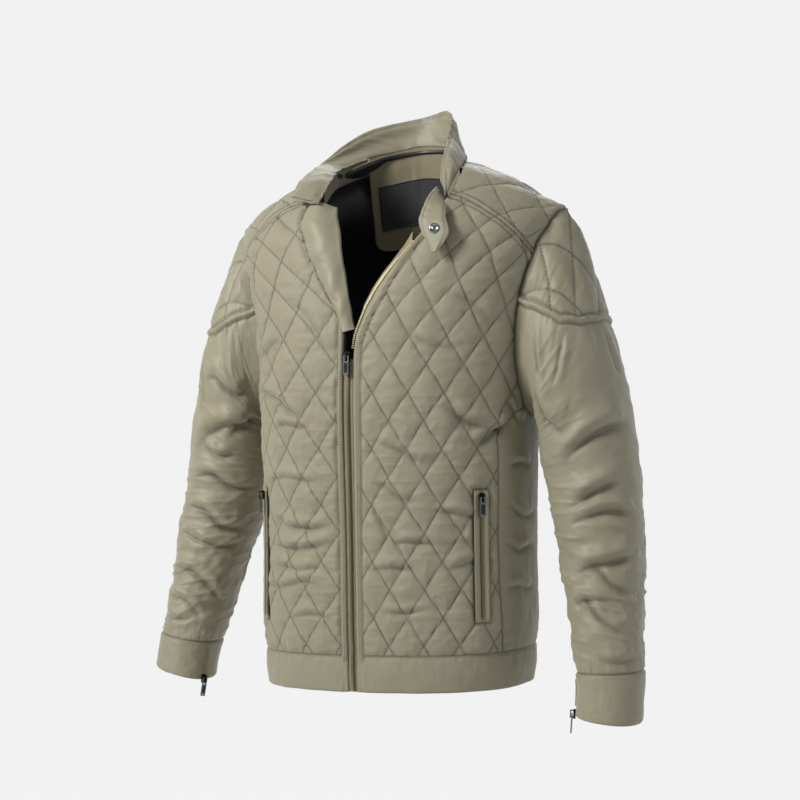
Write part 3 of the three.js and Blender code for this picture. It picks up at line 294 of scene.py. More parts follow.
def beyond_side(line):
    """Points of the front's coordinates, mirrored front to back, still in the front's coordinates."""
    line = np.asarray(line, float)
    share = np.interp(line[:, 0], GIRTH_FRONT[1], GIRTH_FRONT[0])
    return np.stack([np.interp(1 - share, GIRTH_FRONT[0], GIRTH_FRONT[1]), line[:, 1]], -1)


def unit(vectors):
    return vectors / np.maximum(np.linalg.norm(vectors, axis=-1, keepdims=True), 1e-9)


def normal_of(surface, a, b, step_a, step_b, high_b):
    along_a = surface(a + step_a, b) - surface(a - step_a, b)
    along_b = surface(a, np.minimum(b + step_b, high_b)) - surface(a, np.maximum(b - step_b, 0))
    return unit(np.cross(along_a, along_b))


def raised(phi, v, offset):
    """Points of the body, moved out."""
    normal = normal_of(body_point, phi, v, NUDGE_ROUND, NUDGE_UP, TOP)
    return body_point(phi, v) + normal * np.asarray(offset)[..., None]


def front_surface(u, w, offset):
    phi, v = front_angles(u, w)
    return raised(phi, v, offset)


def back_surface(u, w, offset):
    phi, v = back_angles(u, w)
    return raised(phi, v, offset)


def armhole_table():
    line = np.array(ARMHOLE_LINE, float)
    phi, row = front_angles(line[:, 0], line[:, 1])
    points = body_point(phi, row)
    run = np.concatenate([[0], np.cumsum(np.linalg.norm(np.diff(points, axis=0), axis=1))])
    return run / run[-1], phi, row


ARMHOLE = armhole_table()


def armhole_point(psi):
    share = np.abs(psi) / math.pi
    phi = np.interp(share, ARMHOLE[0], ARMHOLE[1])
    row = np.interp(share, ARMHOLE[0], ARMHOLE[2])
    return body_point(np.where(psi >= 0, phi, math.pi - phi), row)


def sleeve_ring(ring, psi):
    outer_x, outer_z, inner_x, inner_z, middle_y, half_front, half_back = columns(ring)[:7]
    s = np.sin(psi)
    c = signed_power(np.cos(psi), 2 / SLEEVE_ROUND)
    half = np.where(s > 0, half_front, half_back)
    return np.stack([
        (outer_x + inner_x) / 2 + (outer_x - inner_x) / 2 * c,
        middle_y - half * signed_power(s, 2 / SLEEVE_ROUND),
        (outer_z + inner_z) / 2 + (outer_z - inner_z) / 2 * c,
    ], -1)


def sleeve_point(psi, t):
    psi, t = np.broadcast_arrays(np.asarray(psi, float), np.asarray(t, float))
    wrapped = (psi + math.pi) % (2 * math.pi) - math.pi
    ring = spline(SLEEVE_ROWS, t)
    share = np.clip(ring[..., 7], 0, 1)[..., None]
    base = sleeve_ring(spline(SLEEVE_ROWS, np.zeros_like(t)), psi)
    return sleeve_ring(ring, psi) + (armhole_point(wrapped) - base) * share


def sleeve_surface(psi, t, offset, side):
    n = normal_of(sleeve_point, psi, t, SLEEVE_NUDGE_ROUND, SLEEVE_NUDGE_ALONG, SLEEVE_END)
    point = sleeve_point(psi, t) + n * np.asarray(offset)[..., None]
    if side < 0:
        lift = np.clip((t - RIGHT_CUFF_LIFT["start"]) / (SLEEVE_END - RIGHT_CUFF_LIFT["start"]), 0, 1)
        share = 0.5 + 0.5 * np.cos(psi)
        outer = RIGHT_CUFF_LIFT["outer"] * 2 * share
        point[..., 2] += lift * (RIGHT_CUFF_LIFT["inner"] * (1 - share) + outer)
        point[..., 0] *= -1
    return point


def sleeve_lengths():
    t = np.linspace(0, SLEEVE_END, 441)
    middle = (sleeve_point(math.pi / 2, t) + sleeve_point(-math.pi / 2, t)) / 2
    return t, np.concatenate([[0], np.cumsum(np.linalg.norm(np.diff(middle, axis=0), axis=1))])


SLEEVE_T, SLEEVE_RUN = sleeve_lengths()
ROUND = 1.15                      # mm of sleeve cloth per degree round the arm
ALONG = 30                        # units a row in the tables of the sleeve


def sleeve_run(t):
    return np.interp(t, SLEEVE_T, SLEEVE_RUN)


# Lines and polygons of the cloth
def resample(line, spacing):
    line = np.asarray(line, float)
    run = np.concatenate([[0], np.cumsum(np.linalg.norm(np.diff(line, axis=0), axis=1))])
    count = max(2, int(round(run[-1] / spacing)) + 1)
    at = np.linspace(0, run[-1], count)
    return np.stack([np.interp(at, run, line[:, 0]), np.interp(at, run, line[:, 1])], -1)


def round_line(line, spacing=4):
    """The line with its corners softened."""
    fine = resample(line, spacing)
    for _ in range(3):
        fine[1:-1] = 0.25 * fine[:-2] + 0.5 * fine[1:-1] + 0.25 * fine[2:]
    return fine


def distance_to(u, w, line):
    """Distance to a line, the signed side of it, and how far along it the nearest point lies."""
    line = np.asarray(line, float)
    best = np.full(np.shape(u), 1e9)
    sign = np.zeros(np.shape(u))
    along = np.zeros(np.shape(u))
    run = 0.0
    for (x0, y0), (x1, y1) in zip(line[:-1], line[1:]):
        dx, dy = x1 - x0, y1 - y0
        length = math.hypot(dx, dy)
        if length < 1e-6:
            continue
        t = np.clip(((u - x0) * dx + (w - y0) * dy) / length ** 2, 0, 1)
        d = np.hypot(u - x0 - t * dx, w - y0 - t * dy)
        nearer = d < best
        best = np.where(nearer, d, best)
        sign = np.where(nearer, np.sign(dx * (w - y0) - dy * (u - x0)), sign)
        along = np.where(nearer, run + t * length, along)
        run += length
    return best, sign, along


def inside(u, w, polygon):
    polygon = np.asarray(polygon, float)
    hit = np.zeros(np.shape(u), bool)
    for (x0, y0), (x1, y1) in zip(polygon, np.roll(polygon, -1, axis=0)):
        if y0 == y1:
            continue
        cross = (w >= min(y0, y1)) & (w < max(y0, y1))
        hit ^= cross & (u < x0 + (w - y0) / (y1 - y0) * (x1 - x0))
    return hit


def fill(polygon, spacing):
    """Fine triangles over a polygon of cloth."""
    closed = np.vstack([polygon, polygon[:1]])
    border = resample(closed, spacing)[:-1]
    low, high = border.min(0), border.max(0)
    points = []
    for k, y in enumerate(np.arange(low[1] + spacing / 2, high[1], spacing * 0.87)):
        xs = np.arange(low[0] + (k % 2) * spacing / 2, high[0], spacing)
        points.append(np.stack([xs, np.full(len(xs), y)], -1))
    points = np.concatenate(points)
    keep = inside(points[:, 0], points[:, 1], polygon)
    keep &= distance_to(points[:, 0], points[:, 1], closed)[0] > 0.55 * spacing
    every = np.concatenate([border, points[keep]])
    found = delaunay_2d_cdt([Vector(p) for p in every.tolist()], [], [list(range(len(border)))], 1, 1e-5)
    return np.array([tuple(p) for p in found[0]]), np.array([f for f in found[2] if len(f) == 3])


def rim_edges(triangles):
    edges = np.concatenate([triangles[:, [0, 1]], triangles[:, [1, 2]], triangles[:, [2, 0]]])
    key = np.sort(edges, axis=1)
    _, first, count = np.unique(key, axis=0, return_index=True, return_counts=True)
    return edges[first[count == 1]]


# Objects
def make_object(name, points, faces, material, body=BODY, replaces=(), slot="plain_cloth", **fields):
    """A mesh of points in mm, with arrays of triangles or quads, riding on a body."""
    groups = [np.asarray(f, np.int32) for f in (faces if isinstance(faces, list) else [faces]) if len(f)]
    mesh = bpy.data.meshes.new(name)
    mesh.vertices.add(len(points))
    mesh.vertices.foreach_set("co", (np.asarray(points, float) * MM).ravel())
    corner = np.concatenate([g.ravel() for g in groups])
    sizes = np.concatenate([np.full(len(g), g.shape[1]) for g in groups])
    mesh.loops.add(len(corner))
    mesh.loops.foreach_set("vertex_index", corner)
    mesh.polygons.add(len(sizes))
    mesh.polygons.foreach_set("loop_start", np.concatenate([[0], np.cumsum(sizes)[:-1]]))
    mesh.polygons.foreach_set("use_smooth", np.ones(len(sizes), bool))
    mesh.update(calc_edges=True)
    mesh.validate()
    for field, values in fields.items():
        mesh.attributes.new(field, "FLOAT", "POINT").data.foreach_set("value", np.asarray(values, float))
    mesh.materials.append(material)
    piece = bpy.data.objects.new(name, mesh)
    bpy.context.scene.collection.objects.link(piece)
    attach(piece, body)
    if replaces:
        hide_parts(*replaces)
    return piece


def grid_faces(rows, across, wrap=False):
    i, j = np.meshgrid(np.arange(rows - 1), np.arange(across if wrap else across - 1), indexing="ij")
    this, following, k = i * across, (i + 1) * across, (j + 1) % across
    return np.stack([this + j, this + k, following + k, following + j], -1).reshape(-1, 4)


def closed_strip(rows, across):
    """Quads round a strip of rows, each with a top and an under side, and over its two ends."""
    count = 2 * across
    ends = []
    for row, order in ((0, 1), (rows - 1, -1)):
        for j in range(across - 1):
            quad = [j, j + 1, count - 2 - j, count - 1 - j]
            ends.append([row * count + corner for corner in quad[::order]])
    return np.concatenate([grid_faces(rows, count, True), np.array(ends)])


# Materials
def linear(hexcode):
    out = []
    for k in (0, 2, 4):
        c = int(hexcode[k:k + 2], 16) / 255
        out.append(c / 12.92 if c <= 0.04045 else ((c + 0.055) / 1.055) ** 2.4)
    return (*out, 1)


class Nodes:
    """A short way to build a material's nodes."""

    def __init__(self, name):
        self.material = bpy.data.materials.new(name)
        self.material.use_nodes = True
        self.tree = self.material.node_tree
        self.shader = self.tree.nodes["Principled BSDF"]
        self.coordinates = None

    def add(self, kind, inputs=None, **settings):
        node = self.tree.nodes.new("ShaderNode" + kind)
        for key, value in settings.items():
            setattr(node, key, value)
        for key, value in (inputs or {}).items():
            if isinstance(value, bpy.types.NodeSocket):
                self.tree.links.new(value, node.inputs[key])
            else:
                node.inputs[key].default_value = value
        return node

    def noise(self, **inputs):
        return self.add("TexNoise", {"Vector": self.place(), **inputs}).outputs["Fac"]

    def wave(self, direction, **inputs):
        inputs = {"Vector": self.place(), **inputs}
        return self.add("TexWave", inputs, bands_direction=direction).outputs["Fac"]

    def place(self):
        """Places on the piece itself, the same for all textures of a material."""
        if self.coordinates is None:
            self.coordinates = self.add("TexCoord").outputs["Object"]
        return self.coordinates

    def mix(self, share, a, b):
        node = self.add("Mix", data_type="RGBA")
        for key, value in ((0, share), (6, a), (7, b)):
            if isinstance(value, bpy.types.NodeSocket):
                self.tree.links.new(value, node.inputs[key])
            else:
                node.inputs[key].default_value = value
        return node.outputs[2]

    def finish(self, color, bumps, **values):
        """Bumps are (height, strength, distance in metres)."""
        if isinstance(color, bpy.types.NodeSocket):
            self.tree.links.new(color, self.shader.inputs["Base Color"])
        else:
            self.shader.inputs["Base Color"].default_value = color
        normal = None
        for height, strength, distance in bumps:
            bump = self.add("Bump", {"Height": height, "Strength": strength, "Distance": distance})
            if normal is not None:
                self.tree.links.new(normal, bump.inputs["Normal"])
            normal = bump.outputs["Normal"]
        if normal is not None:
            self.tree.links.new(normal, self.shader.inputs["Normal"])
        for key, value in values.items():
            self.shader.inputs[key.replace("_", " ")].default_value = value
        return self.material


def nylon(name, light, dark, seam, roughness, crinkle):
    """Satin-faced nylon: soft colour changes, darker along its seams and stitch lines, with painted shade in
    fold troughs and on turned-in edges and under sides, a fine weave and small crinkles.
    """
    n = Nodes(name)
    patches = n.noise(Scale=9.0, Detail=4.0, Roughness=0.6)
    # This attribute mixes in the darker colour: along seams and stitch lines, and as painted shade in fold
    # troughs and on turned-in edges and under sides.
    groove = n.add("Attribute", attribute_name="groove").outputs["Fac"]
    color = n.mix(groove, n.mix(patches, dark, light), seam)
    fine = n.noise(Scale=95.0, Detail=5.0, Roughness=0.55, Distortion=0.5)
    warp = n.wave("X", Scale=620.0)
    weft = n.wave("Z", Scale=620.0)
    weave = n.add("Math", {0: warp, 1: weft}, operation="ADD").outputs[0]
    return n.finish(color, [(fine, crinkle, 0.0012), (weave, 0.12, 0.0001)],
                    Roughness=roughness, Sheen_Weight=0.3, Sheen_Roughness=0.4, Specular_IOR_Level=0.36)


def satin(name, color, lift):
    n = Nodes(name)
    streaks = n.noise(Scale=40.0, Detail=4.0, Distortion=0.8)
    weave = n.wave("Z", Scale=700.0, Distortion=0.3)
    return n.finish(n.mix(streaks, color, lift), [(streaks, 0.35, 0.001), (weave, 0.1, 0.0001)],
                    Roughness=0.38, Sheen_Weight=0.1, Specular_IOR_Level=0.5)


def woven(name, color, lift, scale):
    n = Nodes(name)
    warp = n.wave("X", Scale=scale)
    weft = n.wave("Z", Scale=scale)
    both = n.add("Math", {0: warp, 1: weft}, operation="MULTIPLY").outputs[0]
    return n.finish(n.mix(both, color, lift), [(both, 0.4, 0.0002)], Roughness=0.62, Sheen_Weight=0.15)


def metal(name, color, dull, roughness, wear):
    n = Nodes(name)
    spots = n.noise(Scale=420.0, Detail=3.0)
    rub = n.noise(Scale=900.0, Detail=2.0)
    return n.finish(n.mix(spots, color, dull), [(rub, wear, 0.00008)], Metallic=1.0, Roughness=roughness)


def enamel(name, color, lift):
    n = Nodes(name)
    spots = n.noise(Scale=300.0, Detail=3.0)
    return n.finish(n.mix(spots, color, lift), [(spots, 0.08, 0.0001)],
                    Roughness=0.22, Coat_Weight=0.4, Coat_Roughness=0.1)


# The third colour of each cloth is mixed in along seams and stitch lines, and is the painted shade in fold
# troughs and on turned-in edges and under sides.
QUILTED = nylon("quilted_nylon", linear("918C77"), linear("847F6A"), linear("3B382B"), 0.60, 0.42)
PLAIN = nylon("smooth_nylon", linear("918C77"), linear("87826C"), linear("3B382B"), 0.50, 0.34)
FACING = nylon("facing_cloth", linear("8A8168"), linear("7D745C"), linear("5A5038"), 0.52, 0.2)
THREAD = woven("thread", linear("6C6750"), linear("7E7860"), 900.0)
TAPE = woven("zip_tape", linear("77715A"), linear("8A8469"), 520.0)
LINING = satin("lining_satin", linear("0E0E10"), linear("18181B"))
LABEL = woven("label_weave", linear("1B1C20"), linear("2B2C31"), 800.0)
BRASS = metal("teeth_metal", linear("A89B78"), linear("7D7356"), 0.34, 0.3)
CHROME = metal("polished_metal", linear("A9ABAE"), linear("84868A"), 0.2, 0.15)
GUNMETAL = metal("dark_metal", linear("3A3B3D"), linear("232426"), 0.3, 0.2)
ENAMEL = enamel("black_enamel", linear("0B0B0C"), linear("161618"))


# Relief of the cloth
def pillow(a, b):
    return (np.abs(np.sin(math.pi * a)) * np.abs(np.sin(math.pi * b))) ** 0.5


def lattice_shift(kind, w):
    """How far the stitch lines lean outwards, by height, and their small waves."""
    lean = {
        "front_left": ([440, 470, 500, 535], [0, 4, 8, 12]),
        "front_right": ([430, 460, 497, 531, 560], [0, 9, 19, 28, 34]),
    }.get(kind, ([0, 1], [0, 0]))
    wave = 0.9 * np.sin(w / 37.0 + len(kind)) + 0.6 * np.sin(w / 14.0 + 2 * len(kind))
    return np.interp(w, *lean) + wave


def quilting(u, w, kind, seed):
    """Height, and nearness to a stitch line, of quilted cloth."""
    q = QUILT[kind]
    a = (u - lattice_shift(kind, w) - q["u"]) / q["width"]
    b = (w - q["w"]) / q["height"]
    spacing = 1 / math.hypot(1 / q["width"], 1 / q["height"])
    rising, falling = a + b, a - b
    high = pillow(rising, falling)
    cell = chance(np.floor(rising), np.floor(falling), seed)
    tilt = chance(np.floor(rising), np.floor(falling), seed + 3) - 0.5
    part_r, part_f = rising - np.floor(rising) - 0.5, falling - np.floor(falling) - 0.5
    height = PUFF * high * (0.82 + 0.34 * cell) * (1 + 0.7 * tilt * (part_r + part_f))
    near = np.zeros(np.shape(u))
    length = math.hypot(q["width"], q["height"])
    for k, (line, other) in enumerate(((rising, falling), (falling, rising))):
        away = np.abs(line - np.round(line)) * spacing
        run = (other - np.round(line)) * length / 2
        crease = noise(run / 6.5, np.round(line) * 7.3, seed + 11 + k)
        crease = crease + 0.6 * noise(run / 3.6, np.round(line) * 5.1, seed + 21 + k)
        height = height + 0.42 * crease * np.exp(-(away / 6.0) ** 2) * smooth(away, 0.3, 2.4)
        near = np.maximum(near, np.exp(-(away / 0.9) ** 2))
    height = height + 0.45 * noise(u / 17.0, w / 9.0, seed + 31)
    height = height + 0.28 * noise(u / 8.0 + 3, w / 6.0, seed + 32)
    wrinkle = 1 - np.abs(noise(u / 26.0 + 0.4 * noise(u / 30.0, w / 24.0, seed + 33), w / 10.0, seed + 34))
    height = height + (0.9 * wrinkle ** 5 - 0.25) * (0.45 + 0.55 * smooth(420 - w, 0, 120))
    return height, near


def seam(away, depth=1.5, width=2.2):
    return -depth * np.exp(-(away / width) ** 2)


def plain_cloth(u, w, seed):
    """Height of padded cloth without quilting."""
    return 1.0 + 0.5 * noise(u / 22.0, w / 30.0, seed) + 0.35 * noise(u / 9.0, w / 16.0, seed + 1)


def gathers(away, along, seed, reach=14.0, pitch=7.0, high=0.7):
    fold = noise(along / pitch, away / 30.0, seed)
    fold = fold + 0.5 * noise(along / (pitch * 0.45), away / 18.0, seed + 1)
    return high * fold * np.exp(-away / reach) * smooth(away, 0.2, 2.5)


FOLD_SHARE = 1.35
FOLD_PAINTED_SHADE = 0.45                  # painted shade: how dark the colour at the bottom of a fold gets


def fold_field(u, w, folds):
    """Listed folds: a trough along each line, and a soft ridge to the left of it."""
    total = np.zeros(np.shape(u))
    for line, width, depth in folds:
        fine = round_line(line, 6)
        low, high = fine.min(0) - 3 * width, fine.max(0) + 3 * width
        near = (u > low[0]) & (u < high[0]) & (w > low[1]) & (w < high[1])
        if not near.any():
            continue
        away, sign, along = distance_to(u[near], w[near], fine)
        length = np.linalg.norm(np.diff(fine, axis=0), axis=1).sum()
        ends = smooth(along, -1, 0.35 * length) * smooth(length - along, -1, 0.35 * length)
        signed = away * sign
        ridge = 0.85 * np.exp(-((signed - 0.95 * width) / (0.75 * width)) ** 2)
        trough = np.exp(-(away / (0.42 * width)) ** 1.4)
        total[near] += FOLD_SHARE * depth * ends * (ridge - trough)
    return total


def turned_over(folds, shift, share):
    """The same folds on the other side of the arm or body, a little lower and softer."""
    return [
        ([(-u, w + shift) for u, w in reversed(line)], width, depth * share)
        for line, width, depth in folds
    ]


# Stitches: short raised threads along lines of the cloth
STITCH_FACES = np.array([
    [0, 1, 2], [0, 2, 3], [0, 3, 4], [0, 4, 1], [5, 2, 1], [5, 3, 2], [5, 4, 3], [5, 1, 4],
])


def stitches(runs, place, length=2.3, gap=1.2, width=0.27, high=0.26):
    """runs is a list of (u, w, height) arrays. Returns points and triangles."""
    points, faces, count = [], [], 0
    for u, w, h in runs:
        if len(u) < 2:
            continue
        spot = place(u, w, h)
        run = np.concatenate([[0], np.cumsum(np.linalg.norm(np.diff(spot, axis=0), axis=1))])
        starts = np.arange(0.5, run[-1] - length, length + gap)
        if not len(starts):
            continue
        uv = np.stack([u, w, h], -1)

        def at(s):
            return np.stack([np.interp(s, run, uv[:, k]) for k in range(3)], -1)

        first, middle, last = at(starts), at(starts + length / 2), at(starts + length)
        p0 = place(first[:, 0], first[:, 1], first[:, 2] - 0.15)
        p1 = place(middle[:, 0], middle[:, 1], middle[:, 2] + 0.1)
        p2 = place(last[:, 0], last[:, 1], last[:, 2] - 0.15)
        foot = place(middle[:, 0], middle[:, 1], middle[:, 2])
        up = unit(place(middle[:, 0], middle[:, 1], middle[:, 2] + 1) - foot)
        across = unit(np.cross(unit(p2 - p0), up))
        ring = [p0, p1 + across * width, p1 + up * high, p1 - across * width, p1 - up * high * 0.5, p2]
        ring = np.stack(ring, 1)
        base = count + 6 * np.arange(len(starts))[:, None, None]
        faces.append((base + STITCH_FACES[None]).reshape(-1, 3))
        points.append(ring.reshape(-1, 3))
        count += 6 * len(starts)
    return np.concatenate(points), np.concatenate(faces)


def split_runs(u, w, keep):
    """The stretches of a line where keep is true."""
    runs, start = [], None
    for k, flag in enumerate([*keep, False]):
        if flag and start is None:
            start = k
        if not flag and start is not None:
            if k - start > 3:
                runs.append((u[start:k], w[start:k]))
            start = None
    return runs


def quilt_lines(kind, zone):
    """The stitch lines of a lattice inside a zone of the cloth."""
    q = QUILT[kind]
    zone = np.asarray(zone, float)
    w = np.arange(zone[:, 1].min(), zone[:, 1].max(), 1.5)
    b = (w - q["w"]) / q["height"]
    reach = int((abs(zone[:, 0]).max() + 60) / q["width"] + (zone[:, 1].max() + 100) / q["height"]) + 2
    out = []
    for n in range(-reach, reach + 1):
        for sign in (1, -1):
            u = q["u"] + q["width"] * (n - sign * b) + lattice_shift(kind, w)
            out += split_runs(u, w, inside(u, w, zone))
    return out


# Fronts
def front_zones(side):
    """Polygons of one front, with u towards its own side."""
    edge = FRONT_EDGE[side]
    arm = [p for p in ARMHOLE_LINE if p[1] < 500]
    neck_low = NECK_LINE[side][:3] if side > 0 else []
    quilted = [*edge, *neck_low, *YOKE_SEAM[side], *arm[:-1], *SIDE_SEAM[1:]]
    shoulder = reversed([p for p in ARMHOLE_LINE if 511 < p[1] < RIDGE_W])
    yoke = [*YOKE_SEAM[side], *shoulder, (RIDGE_U, RIDGE_W), (63, RIDGE_W),
            *reversed(NECK_LINE[side][3:-1] if side > 0 else NECK_LINE[side][1:-1])]
    outer_edge = [(3, 0.2), *TEETH_LEFT[1:]] if side > 0 else [(9.6, 0.2), (9.6, 418), (15, 433), *edge[4:]]
    neck = NECK_LINE[side] if side > 0 else NECK_LINE[side][1:]
    back_seam = beyond_side(BACK_SEAM)
    under = [tuple(beyond_side([ARMHOLE_LINE[-2]])[0])]
    whole = [*outer_edge, *neck, (RIDGE_U, RIDGE_W), *ARMHOLE_LINE[1:], *under,
             *[tuple(p) for p in back_seam[1:]],
             (back_seam[-1][0], 0.2)]
    return {"quilted": quilted, "yoke": yoke, "whole": whole, "back_seam": back_seam}


FRONT_FOLDS = {  # line, width, depth
    1: [
        ([(106, 340), (123, 322), (141, 311), (165, 305), (197, 305)], 12, 4.2),
        ([(144, 282), (160, 296), (178, 305), (199, 319)], 9, 4.4),
        ([(183, 342), (200, 328), (211, 311)], 8, 2.6),
        ([(21, 293), (42, 288), (62, 280), (84, 268), (107, 259)], 8, 2.2),
        ([(23, 247), (51, 234), (70, 219), (84, 224)], 8, 2.2),
        ([(46, 172), (73, 176), (107, 172)], 7, 2.0),
        ([(18, 141), (51, 146), (84, 141)], 8, 2.2),
        ([(96, 211), (130, 207), (166, 200)], 8, 2.2),
        ([(107, 138), (141, 152), (178, 152)], 8, 2.0),
        ([(18, 224), (36, 201), (51, 167)], 7, 1.8),
        ([(187, 223), (213, 204), (235, 199), (262, 206)], 10, 2.8),
        ([(182, 176), (213, 159), (235, 166), (258, 160)], 10, 2.8),
        ([(180, 117), (211, 120), (235, 112), (255, 118)], 9, 2.4),
        ([(192, 262), (214, 268), (240, 260)], 9, 2.4),
        ([(28, 96), (62, 92), (98, 98)], 7, 1.8),
        ([(95, 467), (130, 454), (170, 421)], 10, 1.8),
        ([(60, 420), (92, 402), (128, 398)], 9, 1.8),
    ],
    -1: [
        ([(56, 311), (84, 326), (112, 345), (151, 354), (176, 352)], 9, 3.8),
        ([(22, 198), (51, 188), (93, 190), (132, 207)], 9, 3.2),
        ([(24, 177), (48, 168), (94, 164), (140, 171)], 9, 3.2),
        ([(50, 310), (68, 305), (92, 312), (122, 305)], 8, 2.4),
        ([(30, 120), (70, 128), (120, 118), (160, 124)], 8, 2.4),
        ([(22, 84), (60, 90), (110, 82)], 7, 1.8),
        ([(25, 250), (60, 243), (100, 250), (150, 240)], 8, 2.4),
        ([(40, 145), (82, 140), (128, 148)], 7, 2.0),
        ([(25, 387), (52, 436), (81, 462)], 9, 1.6),
        ([(95, 420), (130, 400), (165, 392)], 10, 2.0),
        ([(187, 223), (213, 208), (240, 199)], 10, 2.6),
        ([(182, 150), (213, 140), (240, 148)], 10, 2.4),
        ([(180, 98), (211, 104), (240, 96)], 9, 2.2),
    ],
}


def front_relief(side, zones):
    kind = "front_left" if side > 0 else "front_right"
    seed = 5 if side > 0 else 8
    seams = [  # line, depth, width
        (FRONT_EDGE[side], 1.6, 2.0),
        (SIDE_SEAM, 1.6, 2.2),
        (YOKE_SEAM[side], 0.4, 2.0),
        (zones["back_seam"], 1.4, 2.2),
        ([(0, BAND_HEIGHT), (PAST_SIDE, BAND_HEIGHT)], 1.8, 2.0),
        (ARMHOLE_LINE, 1.0, 3.0),
    ]
    (near_u, far_u), (low_w, high_w) = POCKET["u"], POCKET["w"]
    pocket = [(near_u, low_w), (far_u, low_w), (far_u, high_w), (near_u, high_w), (near_u, low_w)]

    def relief(u, w):
        quilted = inside(u, w, zones["quilted"])
        yoke = inside(u, w, zones["yoke"])
        high, near = quilting(u, w, kind, seed)
        high_yoke, near_yoke = quilting(u, w, "yoke", seed + 1)
        plain = plain_cloth(u, w, seed + 40)
        height = np.where(quilted, high, np.where(yoke, high_yoke, plain))
        groove = np.where(quilted, near, np.where(yoke, near_yoke, 0)) * 0.75
        for k, (line, depth, width) in enumerate(seams):
            away, sign, along = distance_to(u, w, line)
            height = height * (0.35 + 0.65 * smooth(away, 0, 7.0)) + seam(away, depth, width)
            height = height + gathers(away, along, seed + 50 + 3 * k, high=1.0)
            groove = np.maximum(groove, 0.9 * np.exp(-(away / 1.0) ** 2))
        away, sign, along = distance_to(u, w, YOKE_SEAM[side])
        welt = 2.6 * np.abs(np.sin(math.pi * np.clip(away / 6.0, 0, 1))) ** 0.7 * (away < 6.0)
        welt = welt + 0.5 * noise(along / 5.0, away / 3.0, seed + 60) * np.exp(-(away / 9.0) ** 2)
        height = np.maximum(height, welt)
        groove = np.maximum(groove, 0.8 * np.exp(-((away - 6.4) / 0.9) ** 2))
        away, sign, along = distance_to(u, w, pocket)
        hollow = inside(u, w, pocket)
        height = np.where(hollow, POCKET_DEPTH, height * smooth(away, 0, 6.0))
        height = height + gathers(away, along, seed + 70, 9.0)
        groove = np.maximum(groove, 0.8 * np.exp(-(away / 1.2) ** 2))
        edge = distance_to(u, w, FRONT_EDGE[side])
        band = (edge[1] > 0) & (w > -1) & (u < 70)
        ridge = 0.5 + 1.9 * np.abs(np.sin(math.pi * np.clip(edge[0] / 7.5, 0, 1))) ** 0.6
        ridge = ridge + 0.35 * noise(edge[2] / 6.0, edge[0] / 4.0, seed + 80)
        height = np.where(band, ridge, height)
        groove = np.where(band, 0.5 * np.exp(-((edge[0] - 3.8) / 0.6) ** 2), groove)
        fold = fold_field(u, w, FRONT_FOLDS[side]) * smooth(edge[0], 4.0, 14.0)
        height = height + fold
        # painted shade: the colour darkens in the troughs of the folds
        groove = np.maximum(groove, FOLD_PAINTED_SHADE * np.clip(-fold / 4.0, 0, 1))
        return height, groove
    return relief


def mirrored(place, side):
    return (lambda u, w, h: place(u * side, w, h))


def flipped(faces, side):
    return faces if side > 0 else faces[:, ::-1]


def cloth_panel(name, polygon, spacing, place, relief, side, replaces,
                slot="quilted_cloth", material=QUILTED):
    """A panel with its relief, and its edges turned in."""
    points, faces = fill(np.asarray(polygon, float), spacing)
    faces = flipped(faces, side)
    u, w = points[:, 0], points[:, 1]
    height, groove = relief(u, w)
    rim = rim_edges(faces)
    ids = np.unique(rim)
    back = np.full(len(points), -1)
    back[ids] = len(points) + np.arange(len(ids))
    skirt = np.stack([rim[:, 1], rim[:, 0], back[rim[:, 0]], back[rim[:, 1]]], -1)
    solid = np.concatenate([place(u, w, height), place(u[ids], w[ids], np.full(len(ids), -WALL))])
    # painted shade: the turned-in edges get a darker colour
    groove = np.concatenate([groove, np.full(len(ids), 0.5)])
    return make_object(name, solid, [faces, skirt], material, replaces=replaces, slot=slot, groove=groove)


def stitched(name, runs, relief, place, slot="quilted_cloth"):
    """Threads along lines, lying on the relief."""
    points, faces = stitches([(u, w, relief(u, w)[0]) for u, w in runs], place)
    return make_object(name, points, faces, THREAD, slot=slot)


def parallel(line, distance):
    """A line beside another one, to its left for a positive distance."""
    fine = resample(line, 2.0)
    step = unit(np.gradient(fine, axis=0))
    return fine + np.stack([-step[:, 1], step[:, 0]], -1) * distance


def line_runs(line, distance, polygon):
    beside = parallel(line, distance)
    return split_runs(beside[:, 0], beside[:, 1], inside(beside[:, 0], beside[:, 1], polygon))


for side in (1, -1):
    name = "left" if side > 0 else "right"
    zones = front_zones(side)
    relief = front_relief(side, zones)
    place = mirrored(front_surface, side)
    bands = ["band_left"] if side > 0 else ["band_right"]
    nodes = [f"{part}_{name}" for part in ("front", "yoke", "yoke_welt", "side", "hem")] + bands
    cloth = cloth_panel(f"front_{name}_cloth", zones["whole"], FINE["front"], place, relief, side, nodes)
    kind = "front_left" if side > 0 else "front_right"
    runs = quilt_lines(kind, zones["quilted"]) + quilt_lines("yoke", zones["yoke"])
    whole = zones["whole"]
    runs += line_runs(SIDE_SEAM, -5.5, whole) + line_runs(SIDE_SEAM, 2.0, whole)
    for height in (BAND_HEIGHT - 3, 4):
        runs += line_runs([(0, height), (PAST_SIDE, height)], 0, whole)
    runs += line_runs(YOKE_SEAM[side], 6.4, whole) + line_runs(YOKE_SEAM[side], -6.4, whole)
    runs += line_runs(FRONT_EDGE[side], -2.5, whole) + line_runs(FRONT_EDGE[side], 3.8, whole)
    runs += line_runs(ARMHOLE_LINE, -4.0, whole)
    stitched(f"front_{name}_stitches", runs, relief, place)

